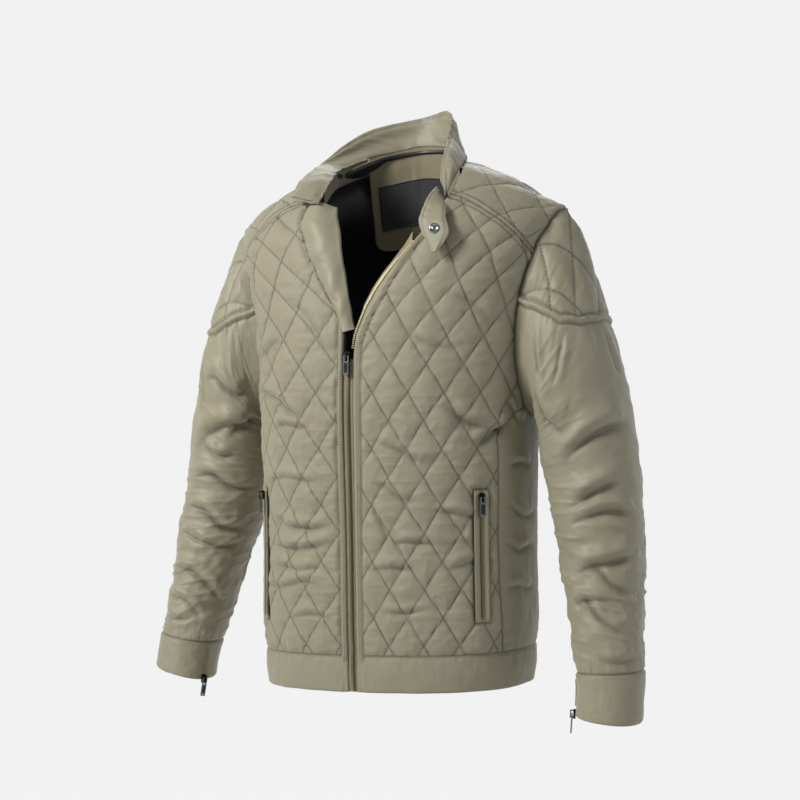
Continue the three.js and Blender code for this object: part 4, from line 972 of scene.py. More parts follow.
# Back
BACK_EDGE = [tuple(p) for p in mirrored_to_back(list(reversed(BACK_SEAM)))]
BACK_ARM = [tuple(p) for p in mirrored_to_back([p for p in reversed(ARMHOLE_LINE) if 336 < p[1] < 684])]
BAND_TOP_BACK = float(mirrored_to_back([(100, BAND_HEIGHT)])[0][1])
RIDGE_BACK = float(mirrored_to_back([(RIDGE_U, RIDGE_W)])[0][0])
BACK_HALF = [(BACK_EDGE[0][0], 0.2), *BACK_EDGE, *BACK_ARM, (RIDGE_BACK, BACK_TOP), (30, BACK_TOP)]
BACK_POLYGON = [*BACK_HALF, *[(-u, w) for u, w in reversed(BACK_HALF)]]
BACK_FOLDS = [  # line, width, depth
    ([(-152, 205), (-96, 190), (-34, 197)], 9, 3.0),
    ([(42, 172), (98, 180), (150, 170)], 9, 3.0),
    ([(-142, 122), (-82, 130), (-20, 118)], 8, 2.4),
    ([(28, 108), (74, 100), (132, 110)], 8, 2.2),
    ([(30, 300), (92, 312), (150, 334)], 10, 3.2),
    ([(-152, 338), (-100, 322), (-46, 318)], 10, 3.2),
    ([(18, 236), (72, 228), (134, 242)], 8, 2.6),
    ([(-130, 262), (-80, 254), (-22, 262)], 8, 2.4),
    ([(70, 440), (120, 428), (168, 402)], 10, 2.0),
    ([(-168, 410), (-118, 430), (-64, 436)], 10, 2.0),
    ([(-60, 80), (-10, 86), (40, 78)], 7, 1.8),
]


def back_relief(u, w):
    near_middle = np.abs(u)
    high, near = quilting(u, w, "back", 15)
    plain = plain_cloth(u, w, 16)
    band = w < BAND_TOP_BACK
    height = np.where(band, plain, high)
    groove = np.where(band, 0, near) * 0.75
    lines = [  # line, depth, width
        (BACK_EDGE, 1.6, 2.2),
        (BACK_ARM, 1.0, 3.0),
        ([(0, BAND_TOP_BACK), (PAST_SIDE, BAND_TOP_BACK)], 1.8, 2.0),
        ([(0, BACK_TOP), (240, BACK_TOP)], 1.2, 2.5),
    ]
    for k, (line, depth, width) in enumerate(lines):
        away, sign, along = distance_to(near_middle, w, line)
        height = height * (0.35 + 0.65 * smooth(away, 0, 7.0)) + seam(away, depth, width)
        height = height + gathers(away, along + 400 * (u < 0), 18 + 3 * k)
        groove = np.maximum(groove, 0.9 * np.exp(-(away / 1.0) ** 2))
    fold = fold_field(u, w, BACK_FOLDS)
    # painted shade: the colour darkens in the troughs of the folds
    return height + fold, np.maximum(groove, FOLD_PAINTED_SHADE * np.clip(-fold / 4.0, 0, 1))


back_cloth = cloth_panel("back_cloth", BACK_POLYGON, FINE["back"], back_surface, back_relief, -1,
                         ["back", "hem_back"])
BACK_ROOM = [(-260, BAND_TOP_BACK), (260, BAND_TOP_BACK), (260, 700), (-260, 700)]
kept = []
for u, w in quilt_lines("back", BACK_ROOM):
    kept += split_runs(u, w, inside(u, w, BACK_POLYGON))
BACK_TOPSTITCH = [  # line, distance beside it
    (BACK_EDGE, 5.5),
    (BACK_ARM, 4.0),
    ([(-20, BAND_TOP_BACK - 3), (PAST_SIDE, BAND_TOP_BACK - 3)], 0),
    ([(-20, 4), (PAST_SIDE, 4)], 0),
]
for turn in (1, -1):
    for line, distance in BACK_TOPSTITCH:
        beside = parallel(line, distance) * [turn, 1]
        kept += split_runs(beside[:, 0], beside[:, 1], inside(beside[:, 0], beside[:, 1], BACK_POLYGON))
stitched("back_stitches", kept, back_relief, back_surface)

# Sleeves
CAP_LINE = [(84, 1), (83, 20), (75, 46), (61, 77), (40, 94), (17, 100), (0, 100)]
CUFF_SEAM = 9.7
HIDDEN = {"shift": 12, "share": 0.85}    # folds on the side away from the photograph
TUCK = 4.0                        # how far the sleeve runs under the body's cloth


def sleeve_line(table):
    """A line of the sleeve's table, in mm round and mm along the arm."""
    return [(a * ROUND, float(sleeve_run(b / ALONG))) for a, b in table]


CAP_SEAM = sleeve_line([*CAP_LINE, *[(-a, b) for a, b in reversed(CAP_LINE[:-1])]])
CUFF_RUN = float(sleeve_run(CUFF_SEAM))
SLEEVE_LENGTH = float(sleeve_run(SLEEVE_END))
SLEEVE_FOLDS = {  # line of (round the arm, along it), width, depth
    1: [
        ([(150, 58), (138, 127), (112, 163), (90, 169)], 16, 5.5),
        ([(118, 205), (102, 189), (76, 182), (40, 180), (0, 181)], 13, 5.2),
        ([(117, 257), (95, 243), (68, 236), (36, 231)], 12, 4.8),
        ([(125, 275), (99, 266), (69, 261), (9, 269)], 10, 4.4),
        ([(130, 331), (98, 321), (66, 319), (8, 311)], 12, 4.8),
        ([(145, 367), (105, 359), (67, 363)], 9, 3.4),
        ([(99, 314), (71, 342), (18, 362)], 10, 2.8),
        ([(120, 347), (93, 382), (37, 406)], 10, 3.0),
        ([(105, 33), (120, 58), (131, 99)], 8, 2.2),
        ([(67, 79), (87, 90), (112, 111)], 8, 2.0),
        ([(14, 98), (7, 122), (0, 144)], 8, 1.8),
        ([(110, 425), (70, 432), (20, 428)], 9, 2.6),
    ],
    -1: [
        ([(161, 31), (146, 75), (121, 93), (99, 101), (77, 125)], 12, 4.6),
        ([(194, 60), (161, 117), (129, 165)], 16, 5.4),
        ([(185, 106), (148, 125), (107, 165), (77, 201)], 14, 4.4),
        ([(193, 226), (154, 235), (112, 220), (77, 233)], 12, 4.6),
        ([(202, 290), (152, 292), (109, 269), (62, 266)], 12, 4.8),
        ([(202, 306), (155, 317), (106, 309), (45, 292)], 10, 3.8),
        ([(198, 396), (161, 373), (109, 351), (44, 342)], 11, 4.0),
        ([(159, 412), (105, 388), (44, 382)], 10, 3.4),
        ([(60, 105), (75, 130), (90, 150)], 8, 2.0),
        ([(138, 410), (105, 416), (44, 412)], 9, 2.8),
        ([(150, 180), (118, 196), (84, 184)], 10, 3.2),
    ],
}


def sleeve_relief(side):
    seed = 90 if side > 0 else 120

    def relief(x, s):
        """x is mm round the arm from the outside, s mm along it."""
        cap_zone = [*CAP_SEAM, (CAP_SEAM[-1][0], -30), (CAP_SEAM[0][0], -30)]
        cap = inside(x, s, cap_zone)
        cuff = s > CUFF_RUN
        high, near = quilting(x, s, "sleeve_cap", seed)
        high = high * smooth(s, 0, 14)
        soft = 1.3 * noise(x / 55.0 + s / 90.0, s / 34.0 - x / 120.0, seed + 1)
        bend = 0.35 * noise(x / 40.0, s / 30.0, seed + 2)
        fold = 1 - np.abs(noise(x / 70.0 + bend, s / 15.0 + x / 95.0, seed + 3))
        elbow = 0.35 + 0.9 * np.exp(-((s - 330) / 95.0) ** 2) + 0.5 * smooth(s, 430, 520) * (s < CUFF_RUN)
        fold = 2.6 * (fold ** 2.4 - 0.35) * elbow
        fine = 0.45 * noise(x / 13.0, s / 6.5 + x / 40.0, seed + 4) * (0.4 + elbow)
        placed = SLEEVE_FOLDS[side] + turned_over(SLEEVE_FOLDS[-side], HIDDEN["shift"], HIDDEN["share"])
        folded = fold_field(x, s, placed)
        sleeve = soft + fold + fine + folded
        away, sign, along = distance_to(x, s, CAP_SEAM)
        sleeve = sleeve * smooth(away, 0, 25) + gathers(away, along, seed + 5, 26.0, 9.0, 1.5) * (~cap)
        near_cuff = np.abs(s - CUFF_RUN)
        sleeve = sleeve * smooth(near_cuff, 0, 18)
        sleeve = sleeve + gathers(near_cuff, x, seed + 6, 16.0, 8.0, 1.2) * (~cuff)
        top = smooth(s, 0, 16)
        sleeve = sleeve * top
        plain = 0.9 + 0.4 * noise(x / 24.0, s / 14.0, seed + 7) + 0.25 * noise(x / 8.0, s / 9.0, seed + 8)
        height = np.where(cap, high, np.where(cuff, plain, sleeve))
        shade = FOLD_PAINTED_SHADE * np.clip(-(folded + 0.6 * fold) / 4.0, 0, 1) * (~cuff)
        groove = np.where(cap, near * 0.75, shade)
        uneven = 0.25 * noise(along / 4.0, 0 * away, seed + 9) * np.exp(-(away / 4) ** 2)
        piping = 3.0 * np.exp(-(away / 2.3) ** 4) + uneven
        height = height * smooth(away, 1.0, 7.0) + piping + seam(np.abs(away - 4.0), 0.9, 1.3)
        groove = np.maximum(groove, 0.7 * np.exp(-((away - 3.6) / 0.9) ** 2))
        height = height * smooth(near_cuff, -2.0, 5.0) + seam(near_cuff, 1.4, 1.8)
        groove = np.maximum(groove, 0.9 * np.exp(-(near_cuff / 1.0) ** 2))
        groove = np.maximum(groove, 0.8 * np.exp(-(s / 2.0) ** 2))
        hem = np.exp(-((SLEEVE_LENGTH - s) / 1.5) ** 2)
        height = height - 1.2 * hem
        return np.clip(height, -7.0, 8.5), groove
    return relief


def sleeve_place(side):
    def place(x, s, h):
        t = np.interp(s, SLEEVE_RUN, SLEEVE_T)
        return sleeve_surface(np.asarray(x) / ROUND * DEG, t, h, side)
    return place


for side in (1, -1):
    name = "left" if side > 0 else "right"
    relief = sleeve_relief(side)
    place = sleeve_place(side)
    around, rows = SLEEVE_GRID["outer"]
    x = np.linspace(-180, 180, around, endpoint=False) * ROUND
    s = np.linspace(0.5, SLEEVE_LENGTH - 0.6, rows)
    grid_x, grid_s = np.meshgrid(x, s)
    height, groove = relief(grid_x, grid_s)
    wrap_x = np.where(grid_x > 0, grid_x - 360 * ROUND, grid_x + 360 * ROUND)
    other, other_groove = relief(wrap_x, grid_s)
    share = 0.5 * smooth(np.abs(grid_x), 150 * ROUND, 180 * ROUND)
    height = height * (1 - share) + other * share
    outer = place(grid_x, grid_s, height)
    inward = unit(outer[0] - outer[3]) * TUCK
    outer[0] += inward + (place(x, s[0] + 0 * x, 0 * x - 1) - place(x, s[0] + 0 * x, 0 * x)) * 2.4
    outer = outer.reshape(-1, 3)
    turned = place(x, np.full(around, s[-1]), np.full(around, -WALL))
    faces = grid_faces(rows, around, True)
    last, edge = (rows - 1) * around, rows * around
    k = np.arange(around)
    following = (k + 1) % around
    lip = np.stack([last + k, last + following, edge + following, edge + k], -1)
    quads = np.concatenate([faces, lip])
    quads = quads[:, ::-1] if side > 0 else quads
    nodes = [f"sleeve_{name}", f"sleeve_cap_{name}", f"cap_welt_{name}", f"cuff_{name}"]
    points = np.concatenate([outer, turned])
    # painted shade: the turned-in lip at the sleeve's end gets a darker colour
    cloth = make_object(f"sleeve_{name}_cloth", points, quads, PLAIN, replaces=nodes,
                        groove=np.concatenate([groove.ravel(), np.full(around, 0.4)]))
    zone = [*CAP_SEAM, (CAP_SEAM[-1][0], 3), (CAP_SEAM[0][0], 3)]
    runs = quilt_lines("sleeve_cap", zone)
    everywhere = [(-230, 2), (230, 2), (230, SLEEVE_LENGTH), (-230, SLEEVE_LENGTH)]
    for at in (CUFF_RUN + 3.5, SLEEVE_LENGTH - 5):
        runs += line_runs([(-180 * ROUND, at), (180 * ROUND, at)], 0, everywhere)
    runs += line_runs(CAP_SEAM, 4.2, everywhere)
    stitched(f"sleeve_{name}_stitches", runs, relief, place, slot="plain_cloth")
    around, rows = SLEEVE_GRID["inner"]
    inner_s = np.linspace(6.0, SLEEVE_LENGTH - 1.5, rows)
    inner_x = np.linspace(-180, 180, around, endpoint=False) * ROUND
    grid_x, grid_s = np.meshgrid(inner_x, inner_s)
    middle = smooth(grid_s, 10, 50) * smooth(SLEEVE_LENGTH - grid_s, 25, 70)
    depth = -WALL - 0.8 - 8.0 * middle - 0.8 * (0.5 + 0.5 * noise(grid_x / 30.0, grid_s / 40.0, 300))
    inner = place(grid_x, grid_s, depth).reshape(-1, 3)
    quads = grid_faces(rows, around, True)
    lining = make_object(f"sleeve_{name}_lining", inner, flipped(quads, side), LINING, slot="lining")

# Lining of the body
def lining_relief(seed):
    def relief(u, w):
        fold = noise(u / 34.0, w / 120.0, seed) * 1.3 + 0.5 * noise(u / 12.0, w / 60.0, seed + 1)
        return -WALL - 4.2 + 0.8 * fold, 0 * u
    return relief


for side in (1, -1):
    name = "left" if side > 0 else "right"
    zones = front_zones(side)
    cloth = cloth_panel(f"front_{name}_lining", zones["whole"], FINE["lining"], mirrored(front_surface, side),
                        lining_relief(200 + side), -side, (), slot="lining", material=LINING)
cloth = cloth_panel("back_lining", BACK_POLYGON, FINE["lining"], back_surface, lining_relief(210), 1,
                    ["lining_back"], slot="lining", material=LINING)


# Strips beside the front opening
def ribbon(name, first, second, across, rise, material, replaces, thickness):
    """A strip of cloth on the front between two lines, closed round its edges."""
    fine = resample(first, FINE["strip"])
    rows = len(fine)
    run = np.linspace(0, 1, rows)
    other = np.asarray(second, float)
    length = np.concatenate([[0], np.cumsum(np.linalg.norm(np.diff(other, axis=0), axis=1))])
    end = np.stack([np.interp(run, length / length[-1], other[:, k]) for k in (0, 1)], -1)
    s = np.linspace(0, 1, across)
    u = fine[:, None, 0] * (1 - s) + end[:, None, 0] * s
    w = fine[:, None, 1] * (1 - s) + end[:, None, 1] * s
    along = np.broadcast_to(run[:, None], u.shape)
    high = rise(np.broadcast_to(s, u.shape), along, w)
    top = front_surface(u, w, high)
    under = front_surface(u, w, high - thickness)[:, ::-1]
    section = np.concatenate([top, under], axis=1)
    points = section.reshape(-1, 3)
    quads = closed_strip(rows, across)
    n = np.cross(points[quads[:, 1]] - points[quads[:, 0]], points[quads[:, 2]] - points[quads[:, 0]])
    c = points[quads].mean(1)
    if (c * n).sum() < 0:
        quads = quads[:, ::-1]
    groove = np.exp(-((np.minimum(s, 1 - s) * across * FINE["strip"]) / 1.5) ** 2)
    # darker along the strip's edges; painted shade on its under side
    groove = np.concatenate([np.broadcast_to(0.3 * groove, u.shape), np.full(u.shape, 0.2)], axis=1)
    return make_object(name, points, quads, material, replaces=replaces, groove=groove.ravel())


def roll_rise(s, t, w):
    """Swells towards the collar and dips to the roll's free edge."""
    swell = (2 + 5 * t) * np.sin(math.pi * np.minimum(1, s * 1.08))
    small = 0.9 * noise(w / 6.0 + 2 * s, s * 2, 401) * (1 - s)
    large = 1.3 * noise(w / 15.0 - 2 * s, s * 2, 402)
    return 1 + swell - 3 * s ** 4 + small + large


def facing_rise(s, t, w):
    return -0.5 - 4 * s + 0.4 * noise(w / 12.0, s * 3, 403)


def tape_rise(s, t, w):
    return -0.5 + 0.12 * noise(w / 5.0, s * 4, 404)


roll_seam = [(-15, 418), *[(-u, w) for u, w in FRONT_EDGE[-1][3:]]]
roll_edge = [(-u, w) for u, w in ROLL_EDGE_RIGHT]
ribbon("roll_right_cloth", roll_seam, roll_edge, 18, roll_rise, PLAIN, ["roll_right"], 2.4)
facing_seam = [(u - 3, w) for u, w in TEETH_LEFT[3:]]
ribbon("facing_left_cloth", facing_seam, FACING_EDGE_LEFT, 9, facing_rise, FACING, ["facing_left"], 1.4)
tape_sides = [[(u, 0.4), (u, ZIP["stop"])] for u in ZIP["tape"]]
ribbon("zip_tape_cloth", *tape_sides, 7, tape_rise, TAPE, ["zip_tape_front"], 1.0)


# Pockets
def pocket_rise(s, t, w):
    lips = 3.4 * np.abs(np.cos(math.pi * s)) ** 0.8
    ends = 1 - 0.5 * np.exp(-(np.minimum(t, 1 - t) * 156 / 4.0) ** 2)
    return (0.6 + lips) * ends + 0.3 * noise(w / 6.0, s * 5, 405)


for side in (1, -1):
    name = "left" if side > 0 else "right"
    welt_sides = [
        [(side * u, POCKET["w"][0] + 0.5), (side * u, POCKET["w"][1] - 0.5)]
        for u in (POCKET["u"][0] + 0.5, POCKET["u"][1] - 0.5)
    ]
    ribbon(f"pocket_welt_{name}_cloth", *welt_sides, 15, pocket_rise, PLAIN, [f"pocket_welt_{name}"], 2.5)


# Zip teeth
TOOTH_FACES = np.array([
    [0, 1, 2, 3], [7, 6, 5, 4], [0, 4, 5, 1], [1, 5, 6, 2], [2, 6, 7, 3], [3, 7, 4, 0],
])
MAIN_ZIP = {"pitch": 2.5, "width": 1.4}
SMALL_ZIP = {"pitch": 2.2, "width": 1.2, "reach": 1.9}


def teeth(name, line, place, rise, replaces, pitch, width, sides=(1, -1), reach=2.4):
    """Teeth on both sides of a line, or on one side of it."""
    fine = resample(line, 0.6)
    spot = place(fine[:, 0], fine[:, 1], np.full(len(fine), rise))
    run = np.concatenate([[0], np.cumsum(np.linalg.norm(np.diff(spot, axis=0), axis=1))])
    points, faces, count = [], [], 0
    for k, turn in enumerate(sides):
        at = np.arange(pitch * (0.5 + 0.5 * k), run[-1] - 0.4, pitch)
        u, w = np.interp(at, run, fine[:, 0]), np.interp(at, run, fine[:, 1])
        here = place(u, w, np.full(len(u), rise))
        next_u, next_w = np.interp(at + 0.5, run, fine[:, 0]), np.interp(at + 0.5, run, fine[:, 1])
        ahead = place(next_u, next_w, np.full(len(u), rise))
        up = unit(place(u, w, np.full(len(u), rise + 1.0)) - here)
        along = unit(ahead - here)
        across = np.cross(along, up) * turn
        half = pitch * 0.31
        ring = []
        for low, high_share, inner, outer in ((0, 1.0, -0.7, reach), (width, 0.7, -0.45, reach - 0.35)):
            for a, b in ((-1, inner), (1, inner), (1, outer), (-1, outer)):
                ring.append(here + along * half * a * high_share + across * b + up * low)
        block = np.stack(ring, 1)
        base = count + 8 * np.arange(len(u))[:, None, None]
        shape = TOOTH_FACES[:, ::-1] if turn > 0 else TOOTH_FACES
        faces.append((base + shape[None]).reshape(-1, 4))
        points.append(block.reshape(-1, 3))
        count += 8 * len(u)
    points, faces = np.concatenate(points), np.concatenate(faces)
    piece = make_object(name, points, faces, BRASS, replaces=replaces, slot="brass_teeth")
    piece.data.polygons.foreach_set("use_smooth", np.zeros(len(piece.data.polygons), bool))
    return piece


closed_teeth = [(ZIP["teeth"], 1.5), (ZIP["teeth"], ZIP["stop"])]
teeth("front_zip_teeth", closed_teeth, front_surface, 0.1, ["zip_teeth_front"], **MAIN_ZIP)
open_teeth = [(u - 0.8, w) for u, w in TEETH_LEFT[1:]]
teeth("open_zip_teeth", open_teeth, front_surface, 0.2, ["zip_teeth_left"], sides=(-1,), **MAIN_ZIP)
for side in (1, -1):
    name = "left" if side > 0 else "right"
    middle = side * (POCKET["u"][0] + POCKET["u"][1]) / 2
    upright = [(middle, POCKET["w"][0] + 4), (middle, POCKET["w"][1] - 10)]
    teeth(f"pocket_zip_teeth_{name}", upright, front_surface, 2.2, [f"pocket_teeth_{name}"], **SMALL_ZIP)
    around = CUFF_ZIP * ROUND
    along = [(around, float(sleeve_run(CUFF_SEAM + 0.2))), (around, SLEEVE_LENGTH - 12)]
    teeth(f"cuff_zip_teeth_{name}", along, sleeve_place(side), 1.4, [f"cuff_teeth_{name}"], **SMALL_ZIP)


# Collar
COLLAR_ROWS = list(COLLAR.values())
COLLAR_END = len(COLLAR_ROWS) - 1
HALF_THICK = 1.1                  # half of the collar's and the tab's thickness


def collar_middle(p, h):
    p, h = np.broadcast_arrays(np.asarray(p, float), np.asarray(h, float))
    row = spline(COLLAR_ROWS, p)
    seam_at, edge_at = row[..., 0:3], row[..., 3:6]
    outward = unit(np.stack([seam_at[..., 0], seam_at[..., 1] * 0.8 - 4, np.full(p.shape, 12.0)], -1))
    bulge = row[..., 6] * np.sin(math.pi * h) * 0.8
    return seam_at + (edge_at - seam_at) * h[..., None] + outward * bulge[..., None]


def collar_surface(p, h, offset):
    d = 0.05
    along = collar_middle(np.minimum(p + d, COLLAR_END), h) - collar_middle(np.maximum(p - d, 0), h)
    up = collar_middle(p, np.minimum(h + d, 1)) - collar_middle(p, np.maximum(h - d, 0))
    return collar_middle(p, h) + unit(np.cross(along, up)) * np.asarray(offset)[..., None]


def sheet_round(surface, a_values, b_values, relief, half):
    """Both faces of a strip with rounded edges, as one tube of rows."""
    b = np.concatenate([b_values, b_values[::-1]])
    face = np.concatenate([np.ones(len(b_values)), -np.ones(len(b_values))])
    a_grid, b_grid = np.meshgrid(a_values, b, indexing="ij")
    side_grid = np.broadcast_to(face, a_grid.shape)
    thick = np.sqrt(np.clip(1 - np.abs(2 * b_grid - 1) ** 14, 0.02, 1))
    height, groove = relief(a_grid, b_grid, side_grid)
    points = surface(a_grid, b_grid, side_grid * (half * thick + height))
    return points.reshape(-1, 3), closed_strip(len(a_values), len(b_values)), groove.ravel()


def collar_relief(p, h, face):
    x = p * 38.0
    y = h * 44.0
    edge = np.minimum(y, 44 - y)
    soft = 1.0 * smooth(edge, 0, 12) + 1.5 * noise(x / 24.0 + y / 30.0, y / 18.0, 501) * smooth(edge, 2, 12)
    soft = soft + 1.0 * noise(x / 9.0 + y / 12.0, y / 20.0, 505) * smooth(edge, 2, 9)
    pucker = 0.9 * noise(x / 5.0, y / 14.0, 502 + (face > 0)) * np.exp(-edge / 9.0)
    line = np.exp(-((edge - 5.0) / 1.2) ** 2)
    binding = (face < 0) * np.exp(-(y / 2.6) ** 2)
    return soft + pucker - 0.9 * line, np.maximum(0.55 * np.exp(-((edge - 5.0) / 0.8) ** 2), binding)


points, faces, groove = sheet_round(collar_surface, np.linspace(0, COLLAR_END, 225), np.linspace(0, 1, 22),
                                    collar_relief, HALF_THICK)
collar = make_object("collar_cloth", points, faces, PLAIN, replaces=["collar"], groove=groove)

TAB_ROWS = list(TAB.values())
TAB_SINK = 12.0                   # the tab starts behind the end of the collar
TAB_OUT = np.array([0.25, -0.95, 0.15]) / np.linalg.norm([0.25, -0.95, 0.15])


def tab_surface(p, across, offset):
    row = spline(TAB_ROWS, p)
    point = row[..., 0:3] * (1 - across)[..., None] + row[..., 3:6] * across[..., None]
    point = point - TAB_OUT * (TAB_SINK * np.clip(1.45 - p, 0, 1))[..., None]
    return point + TAB_OUT * np.asarray(offset)[..., None]


def tab_relief(p, across, face):
    edge = np.minimum(across, 1 - across) * 34
    line = np.exp(-((edge - 4.0) / 1.0) ** 2)
    return 0.6 * smooth(edge, 0, 8) - 0.6 * line + 0.3 * noise(p * 5, across * 4, 511), 0.5 * line


points, faces, groove = sheet_round(tab_surface, np.linspace(0.5, 4, 46), np.linspace(0, 1, 18),
                                    tab_relief, HALF_THICK)
tab = make_object("collar_tab_cloth", points, faces, PLAIN, replaces=["collar_tab"], groove=groove)


# Snaps
def lathe(name, profile, centre, axis, material, replaces, slot):
    count = 48
    angle = np.linspace(0, 2 * math.pi, count, endpoint=False)
    axis = np.asarray(axis, float) / np.linalg.norm(axis)
    first = unit(np.cross(axis, [0.0, 0.3, 1.0]))
    second = np.cross(axis, first)
    spokes = np.cos(angle)[:, None] * first + np.sin(angle)[:, None] * second
    points = np.concatenate([centre + r * spokes + axis * y for r, y in profile])
    faces = grid_faces(len(profile), count, True)
    return make_object(name, points, faces, material, replaces=replaces, slot=slot)


SNAP = [  # radius, height
    (0.01, 0), (5.9, 0), (6.1, 0.5), (5.9, 1.4), (5.3, 2.1), (4.6, 2.3),
    (3.9, 2.0), (3.5, 1.2), (2.4, 1.0), (2.2, 1.5), (1.6, 1.7), (0.01, 1.7),
]
SOCKET = [
    (0.01, 0), (5.6, 0), (5.8, 0.4), (5.5, 1.2), (4.9, 1.6),
    (4.3, 1.5), (3.9, 0.9), (3.0, 0.3), (0.01, 0.3),
]
spot = tab_surface(np.array([2.95]), np.array([0.52]), np.array([2.3]))[0]
lathe("tab_snap", SNAP, spot, TAB_OUT, CHROME, ["snap_tab"], "polished_metal")
inner = collar_surface(np.array([0.35]), np.array([0.62]), np.array([-2.3]))[0]
deeper = collar_surface(np.array([0.35]), np.array([0.62]), np.array([-3.3]))[0]
lathe("collar_end_snap", SOCKET, inner, deeper - inner, CHROME, ["snap_collar_end"], "polished_metal")

# Inside the neck
SEAM_ROWS = collar_middle(np.linspace(2.5, 9.5, 141), 0)
HANG = unit(np.array([0.0, 0.2, -0.95]))     # the way the facing hangs from the collar's seam
NECK_STEP = 2.5


def neck_surface(x, depth, offset):
    """Points on the facing: across, down from the collar's seam, and towards the front."""
    x, depth, offset = np.broadcast_arrays(np.asarray(x, float), depth, offset)
    y = np.interp(x, SEAM_ROWS[:, 0], SEAM_ROWS[:, 1]) - 3
    z = np.interp(x, SEAM_ROWS[:, 0], SEAM_ROWS[:, 2])
    return np.stack([x, y - offset, z], -1) + HANG * depth[..., None]


def neck_piece(name, left, right, top, bottom, corner, offset, wobble, material, replaces, slot):
    """A flat piece that hangs inside the neck, with round lower corners."""
    rows, across = int((bottom - top) / NECK_STEP) + 2, int((right - left) / NECK_STEP) + 2
    depth = np.linspace(top, bottom, rows)[:, None]
    s = np.linspace(0, 1, across)[None, :]
    into_corner = np.maximum(depth - bottom + corner, 0)
    inset = corner - np.sqrt(np.maximum(corner ** 2 - into_corner ** 2, 0))
    x = left + inset + (right - left - 2 * inset) * s
    high = offset + wobble * noise(x / 18.0, depth / 26.0, 520)
    high = high + 0.4 * wobble * noise(x / 6.0, depth / 30.0, 521)
    face, rear = neck_surface(x, depth, high), neck_surface(x, depth, high - 0.9)
    points = np.concatenate([face, rear[:, ::-1]], axis=1).reshape(-1, 3)
    return make_object(name, points, closed_strip(rows, across), material, replaces=replaces, slot=slot,
                       groove=np.zeros(len(points)))


facing = neck_piece("neck_facing_cloth", -66, 62, -2, 124, 16, 0.0, 1.1,
                    FACING, ["neck_facing"], "plain_cloth")
label = neck_piece("neck_label_cloth", -58, 31, 40, 97, 0.5, 2.4, 0.5,
                   LABEL, ["neck_label"], "label")


def neck_tape():
    """The strip inside the collar's seam, which covers the join of collar and lining."""
    p = np.linspace(0.9, 9.6, 150)
    top = collar_surface(p, 0 * p + 0.06, 0 * p - 1.6)
    drop = np.linspace(0, 22, 6)
    inner = np.stack([top - [0, 0, d] for d in drop], 1)
    away = unit(inner[:, :1] * [1, 1, 0])
    section = np.concatenate([inner, (inner + away * 0.8)[:, ::-1]], axis=1)
    points = section.reshape(-1, 3)
    return make_object("neck_tape_cloth", points, closed_strip(len(p), len(drop)), PLAIN,
                       groove=np.full(len(points), 0.35))


tape = neck_tape()

# Carried-over hard pieces
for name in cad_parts:
    hard = {"slider": GUNMETAL, "pull": CHROME}.get(name.split("_")[0])
    if hard is None or name not in bpy.data.objects:
        continue
    material = ENAMEL if name.startswith("pull_enamel") else hard
    node = bpy.data.objects[name]
    for k in range(len(node.material_slots)):
        node.material_slots[k].material = material
    if not node.material_slots:
        node.data.materials.append(material)


# Floor, light and world
STAGE = {"floor": -1.1, "near": 0.75, "far": 3.4, "bend": 0.8, "top": 4.2, "half": 6.5, "front": 4.0}


def stage_sheet(name, points, faces, material):
    mesh = bpy.data.meshes.new(name)
    mesh.from_pydata(points, [], faces)
    mesh.materials.append(material)
    for polygon in mesh.polygons:
        polygon.use_smooth = True
    sheet = bpy.data.objects.new(name, mesh)
    bpy.context.scene.collection.objects.link(sheet)


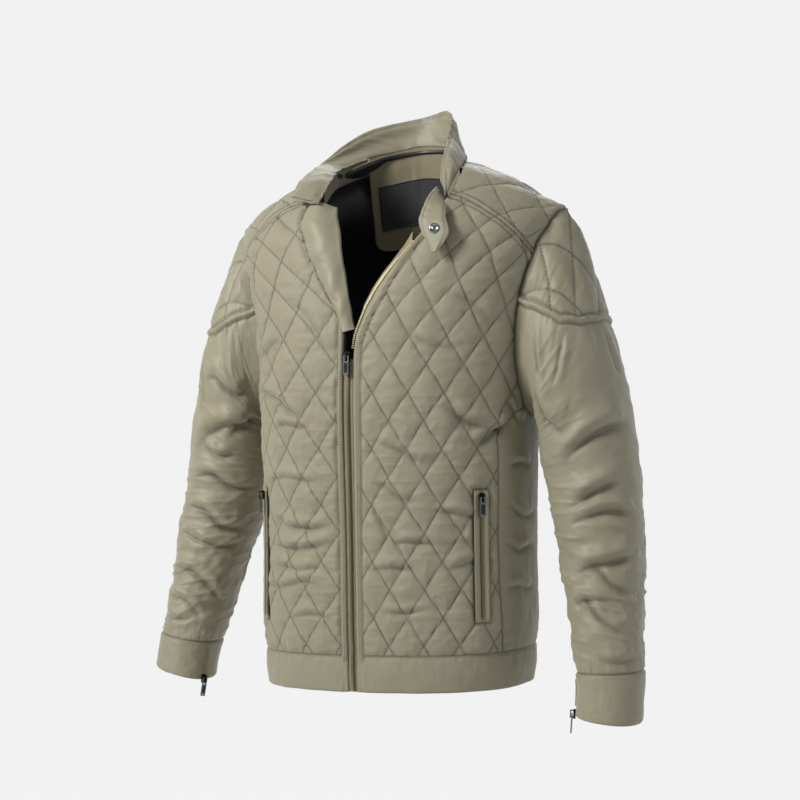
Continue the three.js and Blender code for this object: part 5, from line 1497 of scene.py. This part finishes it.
def stage():
    """A pale floor that bends up into a backdrop behind the jacket."""
    right, _, back = camera_axes(CAMERA["azimuth"], 0)
    floor, far, bend = STAGE["floor"], STAGE["far"], STAGE["bend"]
    turn = [a * DEG for a in range(0, 91, 6)]
    profile = [(far + bend * math.sin(a), floor + bend * (1 - math.cos(a))) for a in turn]
    profile = [(STAGE["near"], floor), *profile, (far + bend, STAGE["top"])]
    sides = (-STAGE["half"], STAGE["half"])
    points = [right * x - back * y + Vector((0, 0, z)) for y, z in profile for x in sides]
    faces = [(2 * k, 2 * k + 1, 2 * k + 3, 2 * k + 2) for k in range(len(profile) - 1)]
    backdrop = Nodes("backdrop_paper")
    grain = backdrop.noise(Scale=60.0)
    glow = backdrop.mix(grain, linear("EFEFEF"), linear("F1F1F1"))
    backdrop.tree.links.new(glow, backdrop.shader.inputs["Emission Color"])
    paper = backdrop.finish((0.02, 0.02, 0.02, 1), [],
                            Roughness=1.0, Emission_Strength=1.0, Specular_IOR_Level=0.0)
    stage_sheet("stage_backdrop", points, faces, paper)
    floor_paper = Nodes("floor_paper")
    grain = floor_paper.noise(Scale=60.0)
    paper = floor_paper.finish(floor_paper.mix(grain, linear("D8D8D8"), linear("DCDCDC")), [], Roughness=0.9)
    ends = (-STAGE["front"], STAGE["near"])
    corners = [right * x - back * y + Vector((0, 0, floor)) for y in ends for x in sides]
    stage_sheet("stage_floor", corners, [(0, 1, 3, 2)], paper)


LIGHTS = {  # azimuth, elevation, distance, size, power, color
    "key": (-34, 30, 2.4, 0.9, 60, (1.0, 0.985, 0.96)),
    "fill": (84, 18, 2.8, 1.2, 16, (0.97, 0.985, 1.0)),
    "back_light": (200, 40, 2.6, 1.2, 18, (1.0, 1.0, 1.0)),
}


def area_light(name, azimuth, elevation, distance, size, power, color):
    a, e = azimuth * DEG, elevation * DEG
    direction = Vector((math.sin(a) * math.cos(e), -math.cos(a) * math.cos(e), math.sin(e)))
    data = bpy.data.lights.new(name, "AREA")
    data.shape = "DISK"
    data.size = size
    data.energy = power
    data.color = color
    light = bpy.data.objects.new(name, data)
    light.location = Vector((0, 0, -0.3)) + direction * distance
    light.rotation_euler = direction.to_track_quat("Z", "Y").to_euler()
    bpy.context.scene.collection.objects.link(light)


stage()
for name, light in LIGHTS.items():
    area_light(name, *light)
world = bpy.data.worlds.new("studio")
world.use_nodes = True
world.node_tree.nodes["Background"].inputs["Color"].default_value = (0.86, 0.87, 0.88, 1)
world.node_tree.nodes["Background"].inputs["Strength"].default_value = 0.34
bpy.context.scene.world = world
bpy.context.scene.view_settings.view_transform = "Standard"
